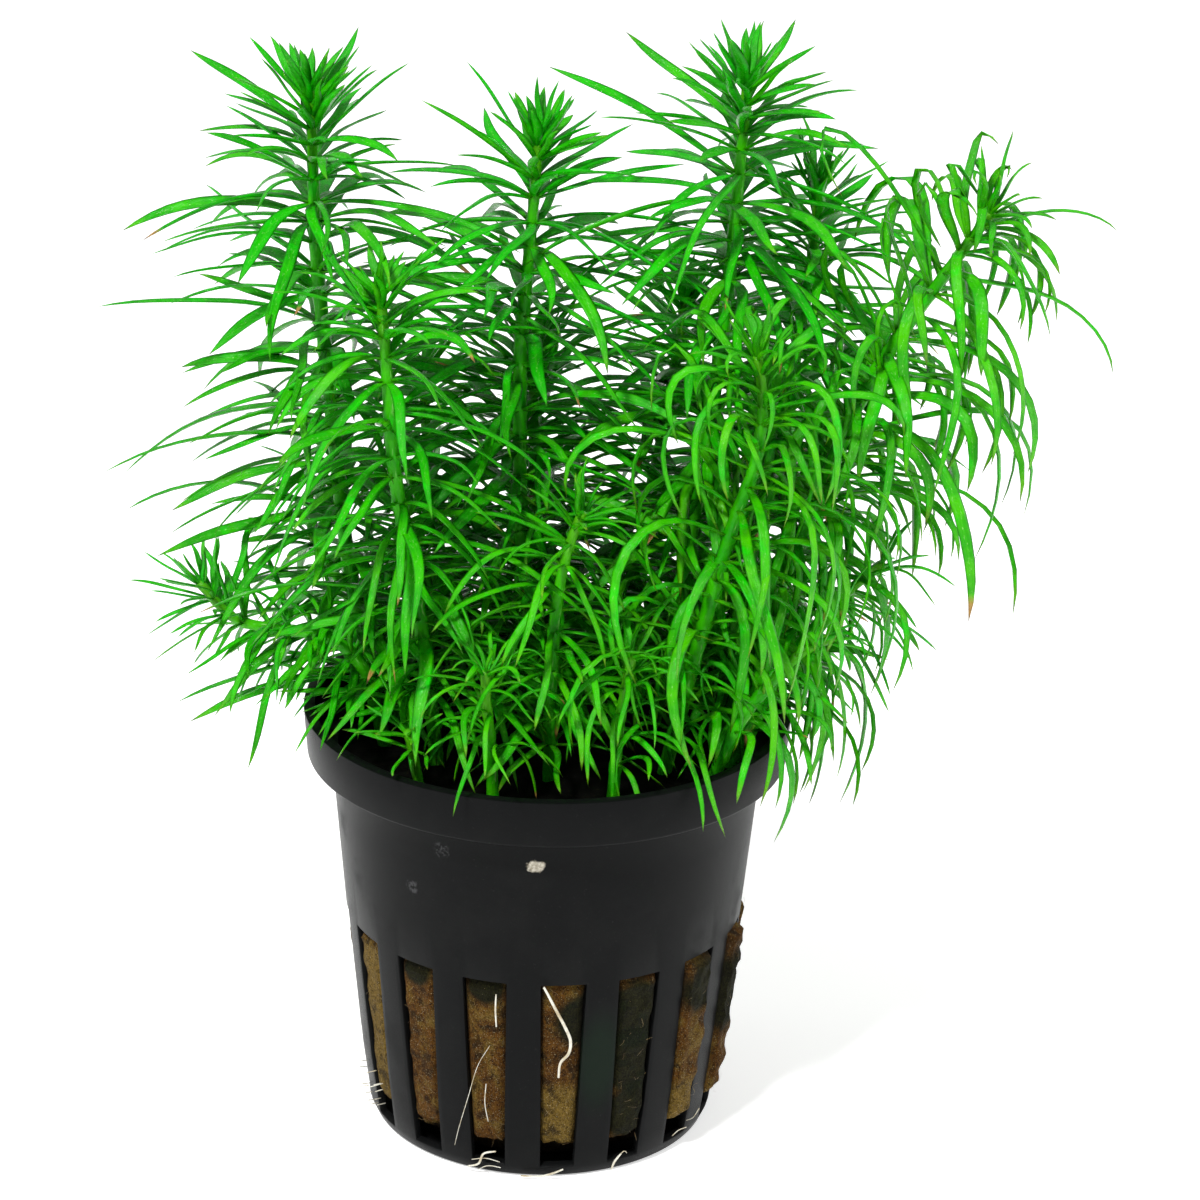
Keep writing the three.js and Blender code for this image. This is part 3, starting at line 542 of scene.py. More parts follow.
def pot_finish():
    pot = Finish("black_plastic", **{"Specular IOR Level": 0.06})
    place = pot.position()
    haze = pot.span(pot.noise(place, 0.12, 4.0, 0.6), 0.45, 0.75)
    dust = pot.span(pot.noise(place, 2.6, 3.0, 0.7), 0.62, 0.78)
    black = pot.mix(haze, colour(0.0040, 0.0043, 0.0045), colour(0.0065, 0.0068, 0.0068))
    dusty = pot.mix(pot.times(dust, 0.25), black, colour(0.04, 0.04, 0.038))

    raggedness = pot.node("TexNoise", {"Vector": place, "Scale": 1.6}).outputs["Color"]
    ragged = pot.node("VectorMath", {0: place, 1: raggedness}, operation="ADD").outputs[0]
    crusted = pot_mark(pot, ragged, CRUST, 0.62, 0.35, CRUST_STRETCH)
    smudged = pot_mark(pot, ragged, SMUDGE, 0.6, 0.6)
    chipped = pot_mark(pot, ragged, CHIP, 0.5, 0.5)
    smeared = pot_mark(pot, ragged, SMEAR, 1.2, 2.4, SMEAR_STRETCH)
    grit = pot.span(pot.noise(place, 2.2, 3.0, 0.7), 0.45, 0.6)
    scraped = pot.times(pot.math("MAXIMUM", smudged, chipped), grit)
    crust = pot.mix(
        pot.span(pot.noise(place, 3.2, 3.0), 0.3, 0.7), colour(0.30, 0.26, 0.19), colour(0.66, 0.62, 0.52),
    )

    green = pot.mix(pot.times(smeared, 0.55), dusty, colour(0.006, 0.016, 0.008))
    worn = pot.mix(pot.times(scraped, 0.35), green, colour(0.11, 0.11, 0.115))
    pot.colour(pot.mix(crusted, worn, crust))
    fine = pot.noise(place, 14.0, 2.0)
    pot.set(pot.shader, {"Roughness": pot.span(pot.math("ADD", haze, fine), 0.4, 1.5, 0.33, 0.5)})
    pot.bump(pot.math("ADD", fine, pot.times(crusted, 6.0)), 0.00002, 0.8)
    return pot.material


def patched(wool, place, patches, strength, under, over):
    """One colour laid over another in round patches on the wall."""
    for angle, height, radius, soft in patches:
        region = wool.near(place, on_wall(angle, height), radius, soft)
        under = wool.mix(wool.times(region, strength), under, over)
    return under


def wool_colour(wool, place, grain):
    """Brown and tan wool with wet places, small painted sparkles of light and patches of algae."""
    patches = wool.noise(wool.stretched(place, (1.0, 1.0, 0.6)), 0.4, 4.0, 0.65)
    brown = wool.mix(wool.span(grain, 0.36, 0.62), colour(0.008, 0.003, 0.0005), colour(0.17, 0.070, 0.009))
    tan = wool.mix(wool.span(grain, 0.36, 0.62), colour(0.030, 0.018, 0.003), colour(0.29, 0.185, 0.035))
    dull = wool.mix(wool.span(patches, 0.46, 0.66, 0.0, 0.8), brown, tan)
    warm = patched(wool, place, TAN_PATCHES, TAN_STRENGTH, dull, tan)
    wetness = wool.span(wool.noise(place, 0.55, 3.0, 0.6), 0.52, 0.66, 0.0, 0.75)
    # Painted highlight: small pale sparkles stand in for light glinting on the wet wool.
    painted_sparkle = wool.span(wool.noise(place, 7.0, 2.0, 0.6), 0.63, 0.68, 0.0, 0.55)
    wet_with_painted_sparkle = wool.mix(painted_sparkle, wool.mix(wetness, warm, colour(0.010, 0.006, 0.002)), colour(0.62, 0.50, 0.28))
    algae = wool.mix(wool.span(grain, 0.4, 0.66), colour(0.002, 0.003, 0.001), colour(0.014, 0.022, 0.006))
    return patched(wool, place, ALGAE_PATCHES, ALGAE_STRENGTH, wet_with_painted_sparkle, algae)


def wool_painted_shade(wool, x, y, height, tangle):
    """Painted shade: how far the wool's colour is darkened beside the ribs and under the ragged lower edge,
    where shade falls.
    """
    turn = wool.times(wool.math("ARCTAN2", y, x), 180 / math.pi)
    shifted = wool.math("ADD", turn, 360 - FIRST_SLOT_ANGLE + SLOT_STEP / 2)
    in_step = wool.math("SUBTRACT", wool.math("MODULO", shifted, SLOT_STEP), SLOT_STEP / 2)
    side = wool.span(wool.math("ABSOLUTE", in_step), 4.8, 6.6, 0.0, 0.85)
    under = wool.span(wool.math("ADD", height, wool.times(tangle, 1.5)), 4.2, 5.4, 0.9, 0.0)
    return wool.math("MAXIMUM", side, under)


def wool_finish():
    wool = Finish("wet_wool", **{"Roughness": 0.72, "Specular IOR Level": 0.08})
    place = wool.position()
    x, y, height = wool.node("SeparateXYZ", {0: place}).outputs
    tangle = wool.noise(place, 2.2, 7.0, 0.75, 1.6)
    strands = wool.noise(wool.stretched(place, (1.0, 1.0, 0.35)), 3.2, 4.0, 0.7, 2.2)
    grain = wool.math("ADD", wool.times(tangle, 0.6), wool.times(strands, 0.4))
    coloured = wool_colour(wool, place, grain)
    # Painted shade darkens the wool beside the ribs and under its lower edge.
    with_painted_shade = wool.mix(wool_painted_shade(wool, x, y, height, tangle), coloured, colour(0.004, 0.003, 0.002))
    specks = wool.span(wool.noise(place, 3.2, 4.0, 0.7), 0.60, 0.70)
    soil = wool.mix(
        wool.times(specks, 0.5), colour(0.003, 0.003, 0.002), colour(0.09, 0.08, 0.018),
    )
    top = wool.span(height, WOOL_TOP - 4.0, WOOL_TOP - 1.5)
    wool.colour(wool.mix(top, with_painted_shade, soil))
    wool.bump(grain, 0.0009, 1.0)
    return wool.material


def fibre_finish():
    fibre = Finish("wool_fibre", **{"Roughness": 0.35})
    tint = fibre.span(fibre.noise(fibre.position(), 0.9, 2.0), 0.35, 0.65)
    fibre.colour(fibre.mix(tint, colour(0.08, 0.040, 0.010), colour(0.34, 0.24, 0.10)))
    return fibre.material


def root_finish():
    root = Finish("pale_root", **{"Roughness": 0.38})
    place = root.position()
    stain = root.span(root.noise(place, 0.7, 3.0), 0.4, 0.7)
    root.colour(root.mix(stain, colour(0.72, 0.70, 0.60), colour(0.42, 0.34, 0.20)))
    root.bump(root.noise(place, 6.0, 3.0), 0.00008, 0.6)
    return root.material


def floor_finish():
    floor = Finish("pale_floor", **{"Roughness": 0.8, "Emission Color": WHITE, "Emission Strength": 0.5})
    floor.colour(floor.mix(
        floor.noise(floor.position(), 0.02, 2.0), colour(0.90, 0.90, 0.89), colour(0.93, 0.93, 0.92),
    ))
    return floor.material


# Pieces

def deselect_all():
    bpy.ops.object.select_all(action="DESELECT")


def select_only(piece):
    deselect_all()
    piece.select_set(True)
    bpy.context.view_layer.objects.active = piece


def dress(piece, node, slot, *finishes):
    """Gives a piece its finishes, and puts it in place of its solid where it has one. Its slot is not used.
    """
    piece.data.materials.clear()
    for finish in finishes:
        piece.data.materials.append(finish)
    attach(piece, "root")
    if node:
        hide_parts(node)


class Skin:
    """Collects the skin of one piece: its points, and its faces with their places, tones and finishes."""

    def __init__(self):
        self.points = []
        self.faces = []
        self.places = []
        self.tones = []
        self.finishes = []

    def sweep(self, rings, across, along, tone, finish):
        """Joins rings of equally many points and closes both ends. The last ring may be a single point."""
        starts = []
        for ring in rings:
            starts.append(len(self.points))
            self.points.extend(ring)
        count = len(rings[0])
        first = list(range(starts[0], starts[0] + count))
        self.add(first[::-1], [(0.5, along[0])] * count, tone, finish)
        for r in range(len(rings) - 1):
            low, high = starts[r], starts[r + 1]
            for i in range(count):
                n = (i + 1) % count
                low_places = [(across[i], along[r]), (across[i + 1], along[r])]
                if len(rings[r + 1]) == 1:
                    self.add([low + i, low + n, high], low_places + [(0.5, along[r + 1])], tone, finish)
                    continue
                high_places = [(across[i + 1], along[r + 1]), (across[i], along[r + 1])]
                self.add([low + i, low + n, high + n, high + i], low_places + high_places, tone, finish)
        if len(rings[-1]) > 1:
            last = list(range(starts[-1], starts[-1] + count))
            self.add(last, [(0.5, along[-1])] * count, tone, finish)

    def add(self, face, places, tone, finish):
        self.faces.append(face)
        self.places.extend(places)
        self.tones.extend([tone] * len(face))
        self.finishes.append(finish)

    def piece(self, name):
        mesh = bpy.data.meshes.new(name)
        mesh.from_pydata([(x * MM, y * MM, z * MM) for x, y, z in self.points], [], self.faces)
        blade = mesh.uv_layers.new(name="blade")
        blade.data.foreach_set("uv", [value for place in self.places for value in place])
        tone = mesh.color_attributes.new("tone", "FLOAT_COLOR", "CORNER")
        tone.data.foreach_set("color", [value for each in self.tones for value in (*each, 1.0)])
        mesh.polygons.foreach_set("material_index", self.finishes)
        mesh.polygons.foreach_set("use_smooth", [True] * len(mesh.polygons))
        mesh.update()
        piece = bpy.data.objects.new(name, mesh)
        bpy.context.scene.collection.objects.link(piece)
        return piece


def numbers(seed):
    """Even numbers between 0 and 1, always the same ones for a seed."""
    state = seed * SEED_FACTOR
    while True:
        state = state * DRAW_FACTOR % DRAW_LIMIT
        yield state / DRAW_LIMIT


def vary(draw, spread):
    """A factor round 1, drawn from a span of this width."""
    return 1 + spread * (next(draw) - 0.5)


class Curve:
    """A smooth way through points, measured by its length."""

    STEPS = 40

    def __init__(self, points):
        points = [Vector(point) for point in points]
        ends = [2 * points[0] - points[1], *points, 2 * points[-1] - points[-2]]
        self.points = []
        for i in range(len(points) - 1):
            for step in range(self.STEPS):
                self.points.append(self.between(ends[i:i + 4], step / self.STEPS))
        self.points.append(points[-1])
        self.lengths = [0.0]
        for low, high in zip(self.points, self.points[1:]):
            self.lengths.append(self.lengths[-1] + (high - low).length)
        self.length = self.lengths[-1]

    @staticmethod
    def between(corners, share):
        a, b, c, d = corners
        bend = (2 * a - 5 * b + 4 * c - d) * share + (3 * b - a - 3 * c + d) * share * share
        return 0.5 * (2 * b + ((c - a) + bend) * share)

    def at(self, distance):
        """The point and the direction at a distance from the start."""
        distance = min(self.length, max(0.0, distance))
        low = 0
        high = len(self.lengths) - 1
        while high - low > 1:
            middle = (low + high) // 2
            if self.lengths[middle] > distance:
                high = middle
            else:
                low = middle
        step = self.points[high] - self.points[low]
        share = (distance - self.lengths[low]) / step.length
        return self.points[low] + step * share, step.normalized()


def tube(skin, curve, radius_at, sides, step, finish=0, along_at=lambda distance: distance):
    """A round skin along a curve."""
    rings = []
    along = []
    count = max(2, math.ceil(curve.length / step))
    turns = [2 * math.pi * k / sides for k in range(sides)]
    side = curve.at(0.0)[1].cross(TUBE_REFERENCE).normalized()
    for i in range(count + 1):
        distance = curve.length * i / count
        centre, ahead = curve.at(distance)
        side = (side - ahead * side.dot(ahead)).normalized()
        other = ahead.cross(side)
        radius = radius_at(distance)
        rings.append([centre + radius * (math.cos(turn) * side + math.sin(turn) * other) for turn in turns])
        along.append(along_at(distance))
    across = [k / sides for k in range(sides + 1)]
    skin.sweep(rings, across, along, PLAIN_TONE, finish)


# Shoots

def maturity(shoot, age):
    """How grown a leaf is, by its distance below the tip. The crown is the length over which leaves grow."""
    return min(1.0, age / shoot["crown"])


def leaf_direction(along, turn, pitch):
    """Where a leaf sets out, by its turn round the stem and its pitch towards the stem's tip."""
    right = BACKWARD.cross(along).normalized()
    back = along.cross(right)
    outward = right * math.cos(math.radians(turn)) + back * math.sin(math.radians(turn))
    return outward * math.cos(math.radians(pitch)) + along * math.sin(math.radians(pitch))


def leaf_line(leaf):
    """A leaf's middle line. It curls sideways, droops ever more by its hook, and tucks in under itself."""
    outward = Vector((leaf["direction"].x, leaf["direction"].y, 0)).normalized()
    points = [leaf["start"].copy()]
    for step in range(LEAF_STEPS):
        place = (step + 0.5) / LEAF_STEPS
        pull = leaf["droop"] * place ** leaf["hook"]
        wave = LEAF_WAVE * math.sin(LEAF_WAVE_TURNS * place + leaf["age"])
        heading = leaf["direction"] + leaf["side"] * (leaf["curl"] * place + wave)
        heading -= outward * (leaf["tuck"] * max(0.0, pull) * place)
        heading.z -= pull
        heading.normalize()
        points.append(points[-1] + heading * (leaf["length"] / LEAF_STEPS))
    return points


def clear_of_pot(point, radius):
    """Whether a ball round a point is above the pot, outside it, or inside its rim and above the wool."""
    reach = math.hypot(point.x, point.y)
    above = point.z - radius > POT_HEIGHT + GAP
    outside = reach - radius > RIM_RADIUS + GAP and point.z > GAP
    inside = reach + radius < RIM_RADIUS - LIP_CLEARANCE - GAP and point.z - radius > WOOL_TOP + GAP
    return above or outside or inside


def settled_leaf(leaf):
    """The leaf, lifted off the pot where it would touch it, or None where it can't be."""
    for _ in range(SETTLE_ATTEMPTS):
        line = leaf_line(leaf)
        if all(clear_of_pot(point, leaf["width"] / 2) for point in line):
            return {**leaf, "line": line}
        leaf["droop"] *= SETTLE_DROOP
        leaf["length"] *= SETTLE_LENGTH
        leaf["direction"].z += SETTLE_LIFT
        leaf["direction"].normalize()
    return None


def leaf_on(curve, age, turn, pitch, shape):
    """A leaf that leaves its stem this far below the tip, or None where the pot is in its way."""
    start, along = curve.at(curve.length - age)
    direction = leaf_direction(along, turn, pitch)
    side = direction.cross(UP).normalized()
    return settled_leaf(dict(start=start, direction=direction, side=side, age=age, **shape))


def whorl_ages(shoot, curve):
    """How far below the tip each whorl is."""
    draw = numbers(shoot["seed"] + GAP_SEED_SHIFT)
    ages = []
    age = FIRST_WHORL
    while age < curve.length - BARE_FOOT:
        ages.append(age)
        gap = lerp(YOUNG_WHORL_GAP, GROWN_WHORL_GAP, maturity(shoot, age))
        age += gap * vary(draw, GAP_SPREAD)
    return ages


def whorl_leaves(shoot, curve, whorl, age, draw):
    """The leaves of one whorl, without those that the shoot has lost or that the pot is in the way of."""
    habit = HABITS[shoot["habit"]]
    grown = maturity(shoot, age)
    leaves = []
    for i in range(WHORL_LEAVES):
        kept = next(draw) < lerp(1, shoot["fill"], grown)
        place = i + whorl / 2 + TURN_SPREAD * (next(draw) - 0.5)
        turn = place * 360 / WHORL_LEAVES + shoot["seed"] * SEED_TURN
        pitch = lerp(YOUNG_PITCH, habit["pitch"], grown ** PITCH_POWER) + PITCH_SPREAD * (next(draw) - 0.5)
        share = next(draw)
        stretch = SHORTEST_LEAF + LENGTH_SPREAD * share + LONG_LEAF_GAIN * share ** LONG_LEAF_POWER
        length = lerp(YOUNG_LEAF_LENGTH, shoot["leaf"], grown ** LENGTH_POWER) * stretch
        droop = lerp(YOUNG_DROOP, habit["droop"], grown ** DROOP_POWER) * vary(draw, DROOP_SPREAD)
        width = shoot["width"] * lerp(YOUNG_LEAF_WIDTH_SHARE, 1, grown) * vary(draw, WIDTH_SPREAD)
        curl = CURL_SPREAD * grown * (next(draw) - 0.5)
        hook = habit["hook"] * vary(draw, HOOK_SPREAD)
        shape = dict(length=length, droop=droop, width=width, curl=curl, hook=hook, tuck=habit["tuck"])
        if kept:
            leaves.append(leaf_on(curve, age, turn, pitch, shape))
    return [leaf for leaf in leaves if leaf]


def leaves_of(shoot, curve, ages):
    """All leaves of a shoot, whorl by whorl from the tip down. A few in each shoot are much longer."""
    draw = numbers(shoot["seed"])
    leaves = []
    for whorl, age in enumerate(ages):
        leaves.extend(whorl_leaves(shoot, curve, whorl, age, draw))
    return leaves


def blade_share(place, bluntness):
    """A leaf's share of its full width, from 0 at its stem to 1 at its tip."""
    if place < WIDEST_PLACE:
        return lerp(FOOT_WIDTH_SHARE, 1.0, smooth(0.0, WIDEST_PLACE, place))
    return max(0.0, 1 - ((place - WIDEST_PLACE) / (1 - WIDEST_PLACE)) ** bluntness)


def add_leaf(skin, leaf, tone, twist, bluntness):
    """One blade, grooved along its rib, that ends in a point."""
    line = leaf["line"]
    rings = []
    for step in range(LEAF_STEPS):
        ahead = (line[step + 1] - line[max(0, step - 1)]).normalized()
        level = (leaf["side"] - ahead * leaf["side"].dot(ahead)).normalized()
        turned = twist * step / LEAF_STEPS
        over = level * math.cos(turned) + level.cross(ahead) * math.sin(turned)
        up = over.cross(ahead)
        half = leaf["width"] / 2 * blade_share(step / LEAF_STEPS, bluntness)
        thickness = LEAF_THICKNESS * lerp(1.0, TIP_THICKNESS_SHARE, step / LEAF_STEPS)
        rings.append([
            line[step] + over * (out * half) + up * (high * half + thick * thickness)
            for out, high, thick in BLADE_RING
        ])
    rings.append([line[LEAF_STEPS]])
    along = [step / LEAF_STEPS for step in range(LEAF_STEPS + 1)]
    skin.sweep(rings, BLADE_ACROSS, along, tone, BLADE_FINISH)


def add_stem(skin, curve, ages):

    def radius_at(distance):
        age = curve.length - distance
        from_whorl = min(abs(age - each) for each in ages)
        swelling = 1 + NODE_SWELLING * (1 - smooth(0.0, NODE_LENGTH, from_whorl))
        grown = smooth(0.0, STEM_TAPER_LENGTH, age) ** STEM_TAPER_POWER
        return lerp(STEM_TIP_RADIUS, STEM_RADIUS, grown) * swelling

    def along_at(distance):
        return (curve.length - distance) / STEM_AGE_SCALE

    tube(skin, curve, radius_at, STEM_SIDES, STEM_STEP, STEM_FINISH, along_at)


def make_shoot(shoot, finishes):
    """A stem with its leaves."""
    curve = Curve([point if len(point) == 3 else (*point, STEM_START) for point in shoot["path"]])
    ages = whorl_ages(shoot, curve)
    skin = Skin()
    add_stem(skin, curve, ages)
    draw = numbers(shoot["seed"] + LOOK_SEED_SHIFT)
    bluntness = lerp(BLUNT_POWER, TAPERED_POWER, smooth(SHORT_CROWN, LONG_CROWN, shoot["crown"]))
    for leaf in leaves_of(shoot, curve, ages):
        browning = smooth(BROWNING_START, 1.0, next(draw)) if leaf["age"] > OLD_LEAF_AGE else 0.0
        warmth = min(1.0, shoot["warmth"] + WARMTH_SPREAD * next(draw) ** 2)
        tone = (warmth, min(1.0, leaf["age"] / FULL_AGE), browning)
        twist = LEAF_TWIST * (next(draw) - 0.5)
        add_leaf(skin, leaf, tone, twist, bluntness)
    dress(skin.piece("leafy_" + shoot["node"]), shoot["node"], "foliage", *finishes)


# Pot

def pot_levels():
    """The pot's rings as (radius, height): its floor from the middle out, then its wall, collar and lip."""
    floor = [(FLOOR_SLOT_INNER, 0.0), (FLOOR_SLOT_OUTER, 0.0), *FLOOR_EDGE_RINGS]
    wall = [(wall_radius(z), z) for z in WALL_RING_HEIGHTS]
    collar = [
        (COLLAR_RADIUS - COLLAR_EDGE_WIDTH, COLLAR_BOTTOM),
        (COLLAR_RADIUS, COLLAR_BOTTOM + COLLAR_EDGE_HEIGHT),
    ]
    lip = [(RIM_RADIUS, POT_HEIGHT), (RIM_RADIUS - LIP_WIDTH, POT_HEIGHT)]
    return floor + wall + collar + lip


def add_pot_rings():
    """A disc whose edge is drawn outwards and up, ring by ring."""
    levels = pot_levels()
    bpy.ops.mesh.primitive_circle_add(vertices=POT_COLUMNS, radius=levels[0][0] * MM, fill_type="TRIFAN")
    pot = bpy.context.active_object
    bpy.ops.object.mode_set(mode="EDIT")
    for (low_radius, low_z), (radius, z) in zip(levels, levels[1:]):
        bpy.ops.mesh.select_all(action="DESELECT")
        mesh = bmesh.from_edit_mesh(pot.data)
        for edge in mesh.edges:
            if edge.is_boundary:
                edge.select_set(True)
        bmesh.update_edit_mesh(pot.data)
        bpy.ops.mesh.extrude_edges_move(TRANSFORM_OT_translate={"value": (0, 0, (z - low_z) * MM)})
        share = radius / low_radius
        bpy.ops.transform.resize(value=(share, share, 1), center_override=(0, 0, z * MM))
    bpy.ops.mesh.select_all(action="SELECT")
    bpy.ops.mesh.normals_make_consistent(inside=False)
    bpy.ops.object.mode_set(mode="OBJECT")
    return pot


def nearest_slot(angle, count, first):
    """The angle of the middle of the nearest of a ring of slots."""
    step = 360 / count
    return first + round((angle - first) / step) * step


def polar(place):
    """A point's distance from the pot's axis, and its angle in degrees."""
    return math.hypot(place.x, place.y), math.degrees(math.atan2(place.y, place.x))


def open_slots(pot):
    bpy.ops.object.mode_set(mode="EDIT")
    bpy.ops.mesh.select_all(action="DESELECT")
    mesh = bmesh.from_edit_mesh(pot.data)
    for face in mesh.faces:
        middle = face.calc_center_median() / MM
        reach, angle = polar(middle)
        if SLOT_BOTTOM < middle.z < SLOT_TOP:
            away = abs(angle - nearest_slot(angle, SLOT_COUNT, FIRST_SLOT_ANGLE))
            face.select_set(away < SLOT_HALF_COLUMNS * COLUMN_STEP)
        elif middle.z < FLOOR_TOLERANCE and FLOOR_SLOT_INNER < reach < FLOOR_SLOT_OUTER:
            away = abs(angle - nearest_slot(angle, FLOOR_SLOT_COUNT, 0.0))
            face.select_set(away < FLOOR_SLOT_HALF_COLUMNS * COLUMN_STEP)
    bmesh.update_edit_mesh(pot.data)
    bpy.ops.mesh.delete(type="FACE")
    bpy.ops.object.mode_set(mode="OBJECT")


def taper_slots(pot):
    """Moves the points beside the wall's slots round the pot, so that each slot is wider at its top."""
    edge = SLOT_HALF_COLUMNS * COLUMN_STEP
    rib = SLOT_STEP / 2
    for vertex in pot.data.vertices:
        place = vertex.co / MM
        if not SLOT_BOTTOM - SLOT_TOLERANCE < place.z < SLOT_TOP + SLOT_TOLERANCE:
            continue
        reach, angle = polar(place)
        middle = nearest_slot(angle, SLOT_COUNT, FIRST_SLOT_ANGLE)
        wanted = math.degrees(slot_width(place.z) / 2 / reach)
        away = abs(angle - middle)
        if away <= edge:
            moved = away * wanted / edge
        else:
            moved = wanted + (away - edge) * (rib - wanted) / (rib - edge)
        vertex.co = around(reach, middle + math.copysign(moved, angle - middle), place.z) * MM


def turn_about_axis(piece, degrees):
    turn = math.radians(degrees)
    for vertex in piece.data.vertices:
        x, y, z = vertex.co
        vertex.co = (x * math.cos(turn) - y * math.sin(turn), x * math.sin(turn) + y * math.cos(turn), z)


def apply(piece, kind, **settings):
    modifier = piece.modifiers.new(kind.lower(), kind)
    for name, value in settings.items():
        setattr(modifier, name, value)
    select_only(piece)
    bpy.ops.object.modifier_apply(modifier=modifier.name)


def make_pot(finish):
    deselect_all()
    pot = add_pot_rings()
    pot.name = "net_pot"
    turn_about_axis(pot, FIRST_SLOT_ANGLE % COLUMN_STEP)
    open_slots(pot)
    taper_slots(pot)
    apply(pot, "SOLIDIFY", thickness=WALL_THICKNESS * MM, offset=-1.0, use_even_offset=True)
    rounded = math.radians(ROUNDED_ANGLE)
    apply(pot, "BEVEL", width=EDGE_ROUNDING * MM, segments=2, limit_method="ANGLE", angle_limit=rounded)
    select_only(pot)
    bpy.ops.object.shade_smooth_by_angle(angle=math.radians(SMOOTH_ANGLE))
    dress(pot, "pot", "pot_plastic", finish)


# Wool and roots

def lumps(place, sizes):
    return sum(height * noise.noise(place * scale) for scale, height in sizes)


def bulge_share(slot_angle):
    """A slot's share of the bulge: 1 on the side where the wool comes out most, 0 on the far side."""
    return max(0.0, math.cos(math.radians(slot_angle - BULGE_SIDE_ANGLE))) ** BULGE_SIDE_POWER


def wool_reach(angle, z):
    """How far out the wool is. It swells into the slots and steps back under its ragged lower edge."""
    middle = nearest_slot(angle, SLOT_COUNT, FIRST_SLOT_ANGLE)
    radius = wall_radius(z) - WOOL_RECESS
    arc = math.radians(abs(angle - middle)) * radius
    half = slot_width(min(SLOT_TOP, z)) / 2
    in_slot = 1 - smooth(half - SWELL_INSIDE_EDGE, half + SWELL_OUTSIDE_EDGE, arc)
    risen = smooth(SLOT_BOTTOM + SWELL_START, SLOT_BOTTOM + SWELL_FULL, z)
    in_height = risen * (1 - smooth(SLOT_TOP - SWELL_TOP, SLOT_TOP, z))
    side = bulge_share(middle)
    place = around(radius, angle, z)
    lumpiness = lumps(place, SIDE_LUMPS) * lerp(LUMP_SHARE, BULGE_LUMP_SHARE, side)
    swell = in_slot * in_height * (SWELL_DEPTH + BULGE_SIDE_DEPTH * side + lumpiness)
    edge = WOOL_EDGE + lumps(place, EDGE_LUMPS)
    under = 1 - smooth(edge - WOOL_EDGE_BELOW, edge + WOOL_EDGE_ABOVE, z)
    shoulder = smooth(WOOL_TOP - WOOL_SHOULDER_HEIGHT, WOOL_TOP, z)
    return radius + swell - WOOL_EDGE_RECESS * under - WOOL_SHOULDER_WIDTH * shoulder


def wool_top_point(share, angle):
    """A point of the plug's lumpy top, by its share of the way out from the middle."""
    place = around(share * WOOL_TOP_RADIUS, angle, WOOL_TOP)
    place.z += lumps(place, TOP_LUMPS)
    return place


def make_wool(finish):
    """The plug: a lumpy round block with a ragged lower edge that swells into the slots."""
    angles = [360 * column / WOOL_COLUMNS for column in range(WOOL_COLUMNS)]
    foot = [around(WOOL_CENTRE_RADIUS, angle, WOOL_FOOT) for angle in angles]
    sides = [[around(wool_reach(angle, z), angle, z) for angle in angles] for z in WOOL_RING_HEIGHTS]
    top = [[wool_top_point(share, angle) for angle in angles] for share in WOOL_TOP_SHARES]
    along = [0.0] + [z / POT_HEIGHT for z in WOOL_RING_HEIGHTS] + [1.0] * len(WOOL_TOP_SHARES)
    across = [column / WOOL_COLUMNS for column in range(WOOL_COLUMNS + 1)]
    skin = Skin()
    skin.sweep([foot, *sides, *top], across, along, PLAIN_TONE, 0)
    dress(skin.piece("mineral_wool"), "wool_plug", "wool", finish)


def fibre_way(middle, draw):
    """Three points of a fibre that lies on the wool of a slot."""
    z = lerp(*FIBRE_HEIGHTS, next(draw) ** FIBRE_HEIGHT_POWER)
    arc = (next(draw) - 0.5) * (slot_width(z) - FIBRE_SIDE_MARGIN)
    angle = middle + math.degrees(arc / wall_radius(z))
    out = FIBRE_OUT + FIBRE_BULGE * bulge_share(middle) + FIBRE_OUT_SPREAD * next(draw)
    heading = next(draw) * 2 * math.pi
    length = lerp(*FIBRE_LENGTHS, next(draw))
    bend = FIBRE_BEND * (next(draw) - 0.5)
    points = []
    for step in (-1, 0, 1):
        along = step * length / 2
        turned = angle + math.degrees(along * math.cos(heading) / wall_radius(z))
        height = z + along * math.sin(heading)
        points.append(on_wall(turned, height, out + bend * (1 - abs(step))))
    return points


def make_wool_fibres(finish):
    skin = Skin()
    draw = numbers(FIBRE_SEED)
    for slot in range(SLOT_COUNT):
        for _ in range(FIBRES_PER_SLOT):
            curve = Curve(fibre_way(FIRST_SLOT_ANGLE + slot * SLOT_STEP, draw))
            tube(skin, curve, lambda distance: FIBRE_RADIUS, FIBRE_SIDES, FIBRE_STEP)
    dress(skin.piece("wool_fibres"), None, "wool", finish)


def make_root(node, radius, way, finish):
    """A root along the solid's way, but as thin as the real one, and thinner towards its ends."""
    curve = Curve([on_wall(angle, z, GAP + radius) for angle, z in way])
    thickest = ROOT_SHARES.get(node, ROOT_SHARE) * radius

    def radius_at(distance):
        return thickest * lerp(ROOT_END_SHARE, 1.0, math.sin(math.pi * distance / curve.length))

    skin = Skin()
    tube(skin, curve, radius_at, ROOT_SIDES, ROOT_STEP)
    dress(skin.piece("pale_" + node), node, "root", finish)


def hair_way(draw):
    """Three points of a hair that stands out from the wall."""
    angle = lerp(*HAIR_ANGLES, next(draw))
    height = lerp(*HAIR_HEIGHTS, next(draw))
    rise = HAIR_RISE * (next(draw) - 0.5)
    length = HAIR_LENGTH * lerp(SHORTEST_HAIR_SHARE, 1.0, next(draw))
    reaches = (HAIR_START, HAIR_MIDDLE_SHARE * length, length)
    return [on_wall(angle + 2 * rise * i, height + rise * i / 2, out) for i, out in enumerate(reaches)]


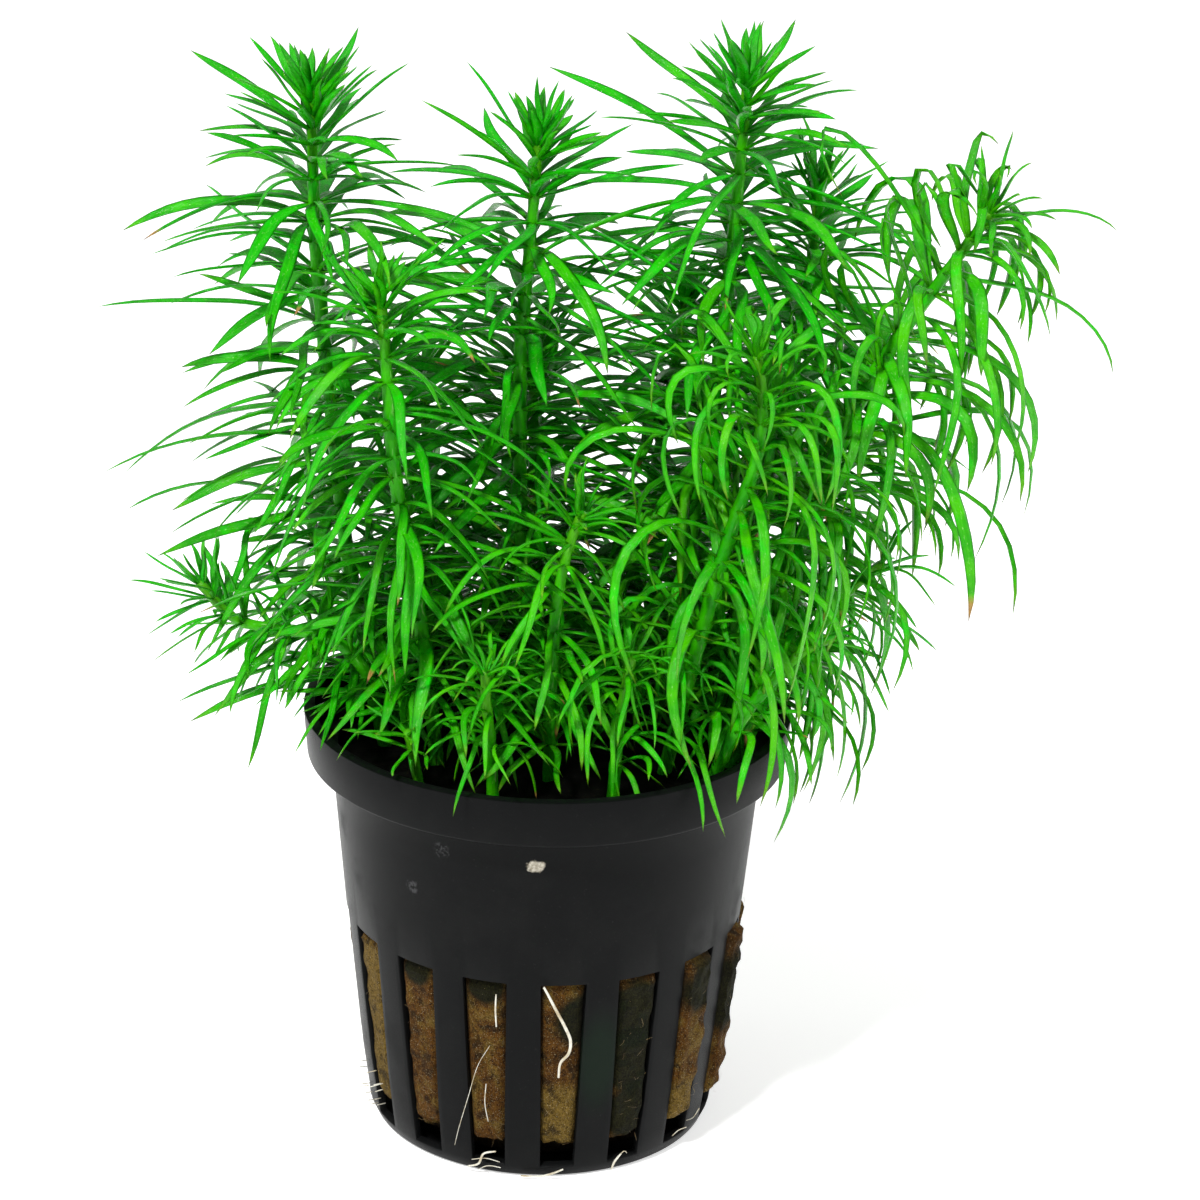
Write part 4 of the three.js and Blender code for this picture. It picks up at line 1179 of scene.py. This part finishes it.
def make_fine_roots(finish):
    """Thin roots at the foot of the pot, and hairs that stand out from the slots at its left."""
    draw = numbers(HAIR_SEED)
    ways = [[on_wall(*place) for place in way] for way in FINE_ROOTS]
    ways.extend(hair_way(draw) for _ in range(HAIR_COUNT))
    skin = Skin()
    for way in ways:
        tube(skin, Curve(way), lambda distance: FINE_ROOT_RADIUS, FINE_ROOT_SIDES, ROOT_STEP)
    dress(skin.piece("fine_roots"), None, "root", finish)


# Studio

def add_floor(finish):
    deselect_all()
    bpy.ops.mesh.primitive_plane_add(size=FLOOR_SIZE, location=(0, 0, 0))
    floor = bpy.context.active_object
    floor.name = "studio_floor"
    floor.data.materials.append(finish)


def add_light(name, place, size, power):
    light = bpy.data.lights.new(name, "AREA")
    light.shape = "RECTANGLE"
    light.size, light.size_y = size
    light.energy = power
    lamp = bpy.data.objects.new(name, light)
    bpy.context.scene.collection.objects.link(lamp)
    lamp.location = place
    lamp.rotation_euler = (Vector(LIGHT_AIM) - Vector(place)).to_track_quat("-Z", "Y").to_euler()


def add_air():
    """Bright all round, but darker where the camera stands."""
    world = bpy.data.worlds.new("studio_air")
    world.use_nodes = True
    tree = world.node_tree
    direction = tree.nodes.new("ShaderNodeTexCoord")
    parts = tree.nodes.new("ShaderNodeSeparateXYZ")
    brightness = tree.nodes.new("ShaderNodeMapRange")
    brightness.interpolation_type = "SMOOTHSTEP"
    for name, value in AIR_SPAN.items():
        brightness.inputs[name].default_value = value
    background = tree.nodes["Background"]
    background.inputs["Color"].default_value = WHITE
    tree.links.new(direction.outputs["Generated"], parts.inputs[0])
    tree.links.new(parts.outputs[1], brightness.inputs["Value"])
    tree.links.new(brightness.outputs[0], background.inputs["Strength"])
    bpy.context.scene.world = world


def add_camera():
    camera_data = bpy.data.cameras.new("camera")
    camera_data.sensor_width = SENSOR_WIDTH
    camera_data.lens = FOCAL_PIXELS / IMAGE_SIDE * SENSOR_WIDTH
    camera_data.clip_start = CLIP_START * MM
    camera = bpy.data.objects.new("camera", camera_data)
    bpy.context.scene.collection.objects.link(camera)
    elevation = math.radians(CAMERA_ELEVATION)
    back = Vector((0, -math.cos(elevation), math.sin(elevation)))
    camera.location = (Vector(CAMERA_AIM) + back * CAMERA_DISTANCE) * MM
    camera.rotation_euler = back.to_track_quat("Z", "Y").to_euler()
    camera.rotation_euler.rotate_axis("Z", math.radians(CAMERA_ROLL))
    bpy.context.scene.camera = camera


def main():
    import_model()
    add_camera()
    for name, light in LIGHTS.items():
        add_light(name, **light)
    add_air()
    add_floor(floor_finish())
    make_pot(pot_finish())
    make_wool(wool_finish())
    make_wool_fibres(fibre_finish())
    pale_root = root_finish()
    for node, (radius, way) in ROOTS.items():
        make_root(node, radius, way, pale_root)
    make_fine_roots(pale_root)
    finishes = (leaf_finish(), stem_finish())
    for shoot in SHOOTS:
        make_shoot(shoot, finishes)
    bpy.context.scene.view_settings.view_transform = "Standard"
    bpy.context.view_layer.update()


main()
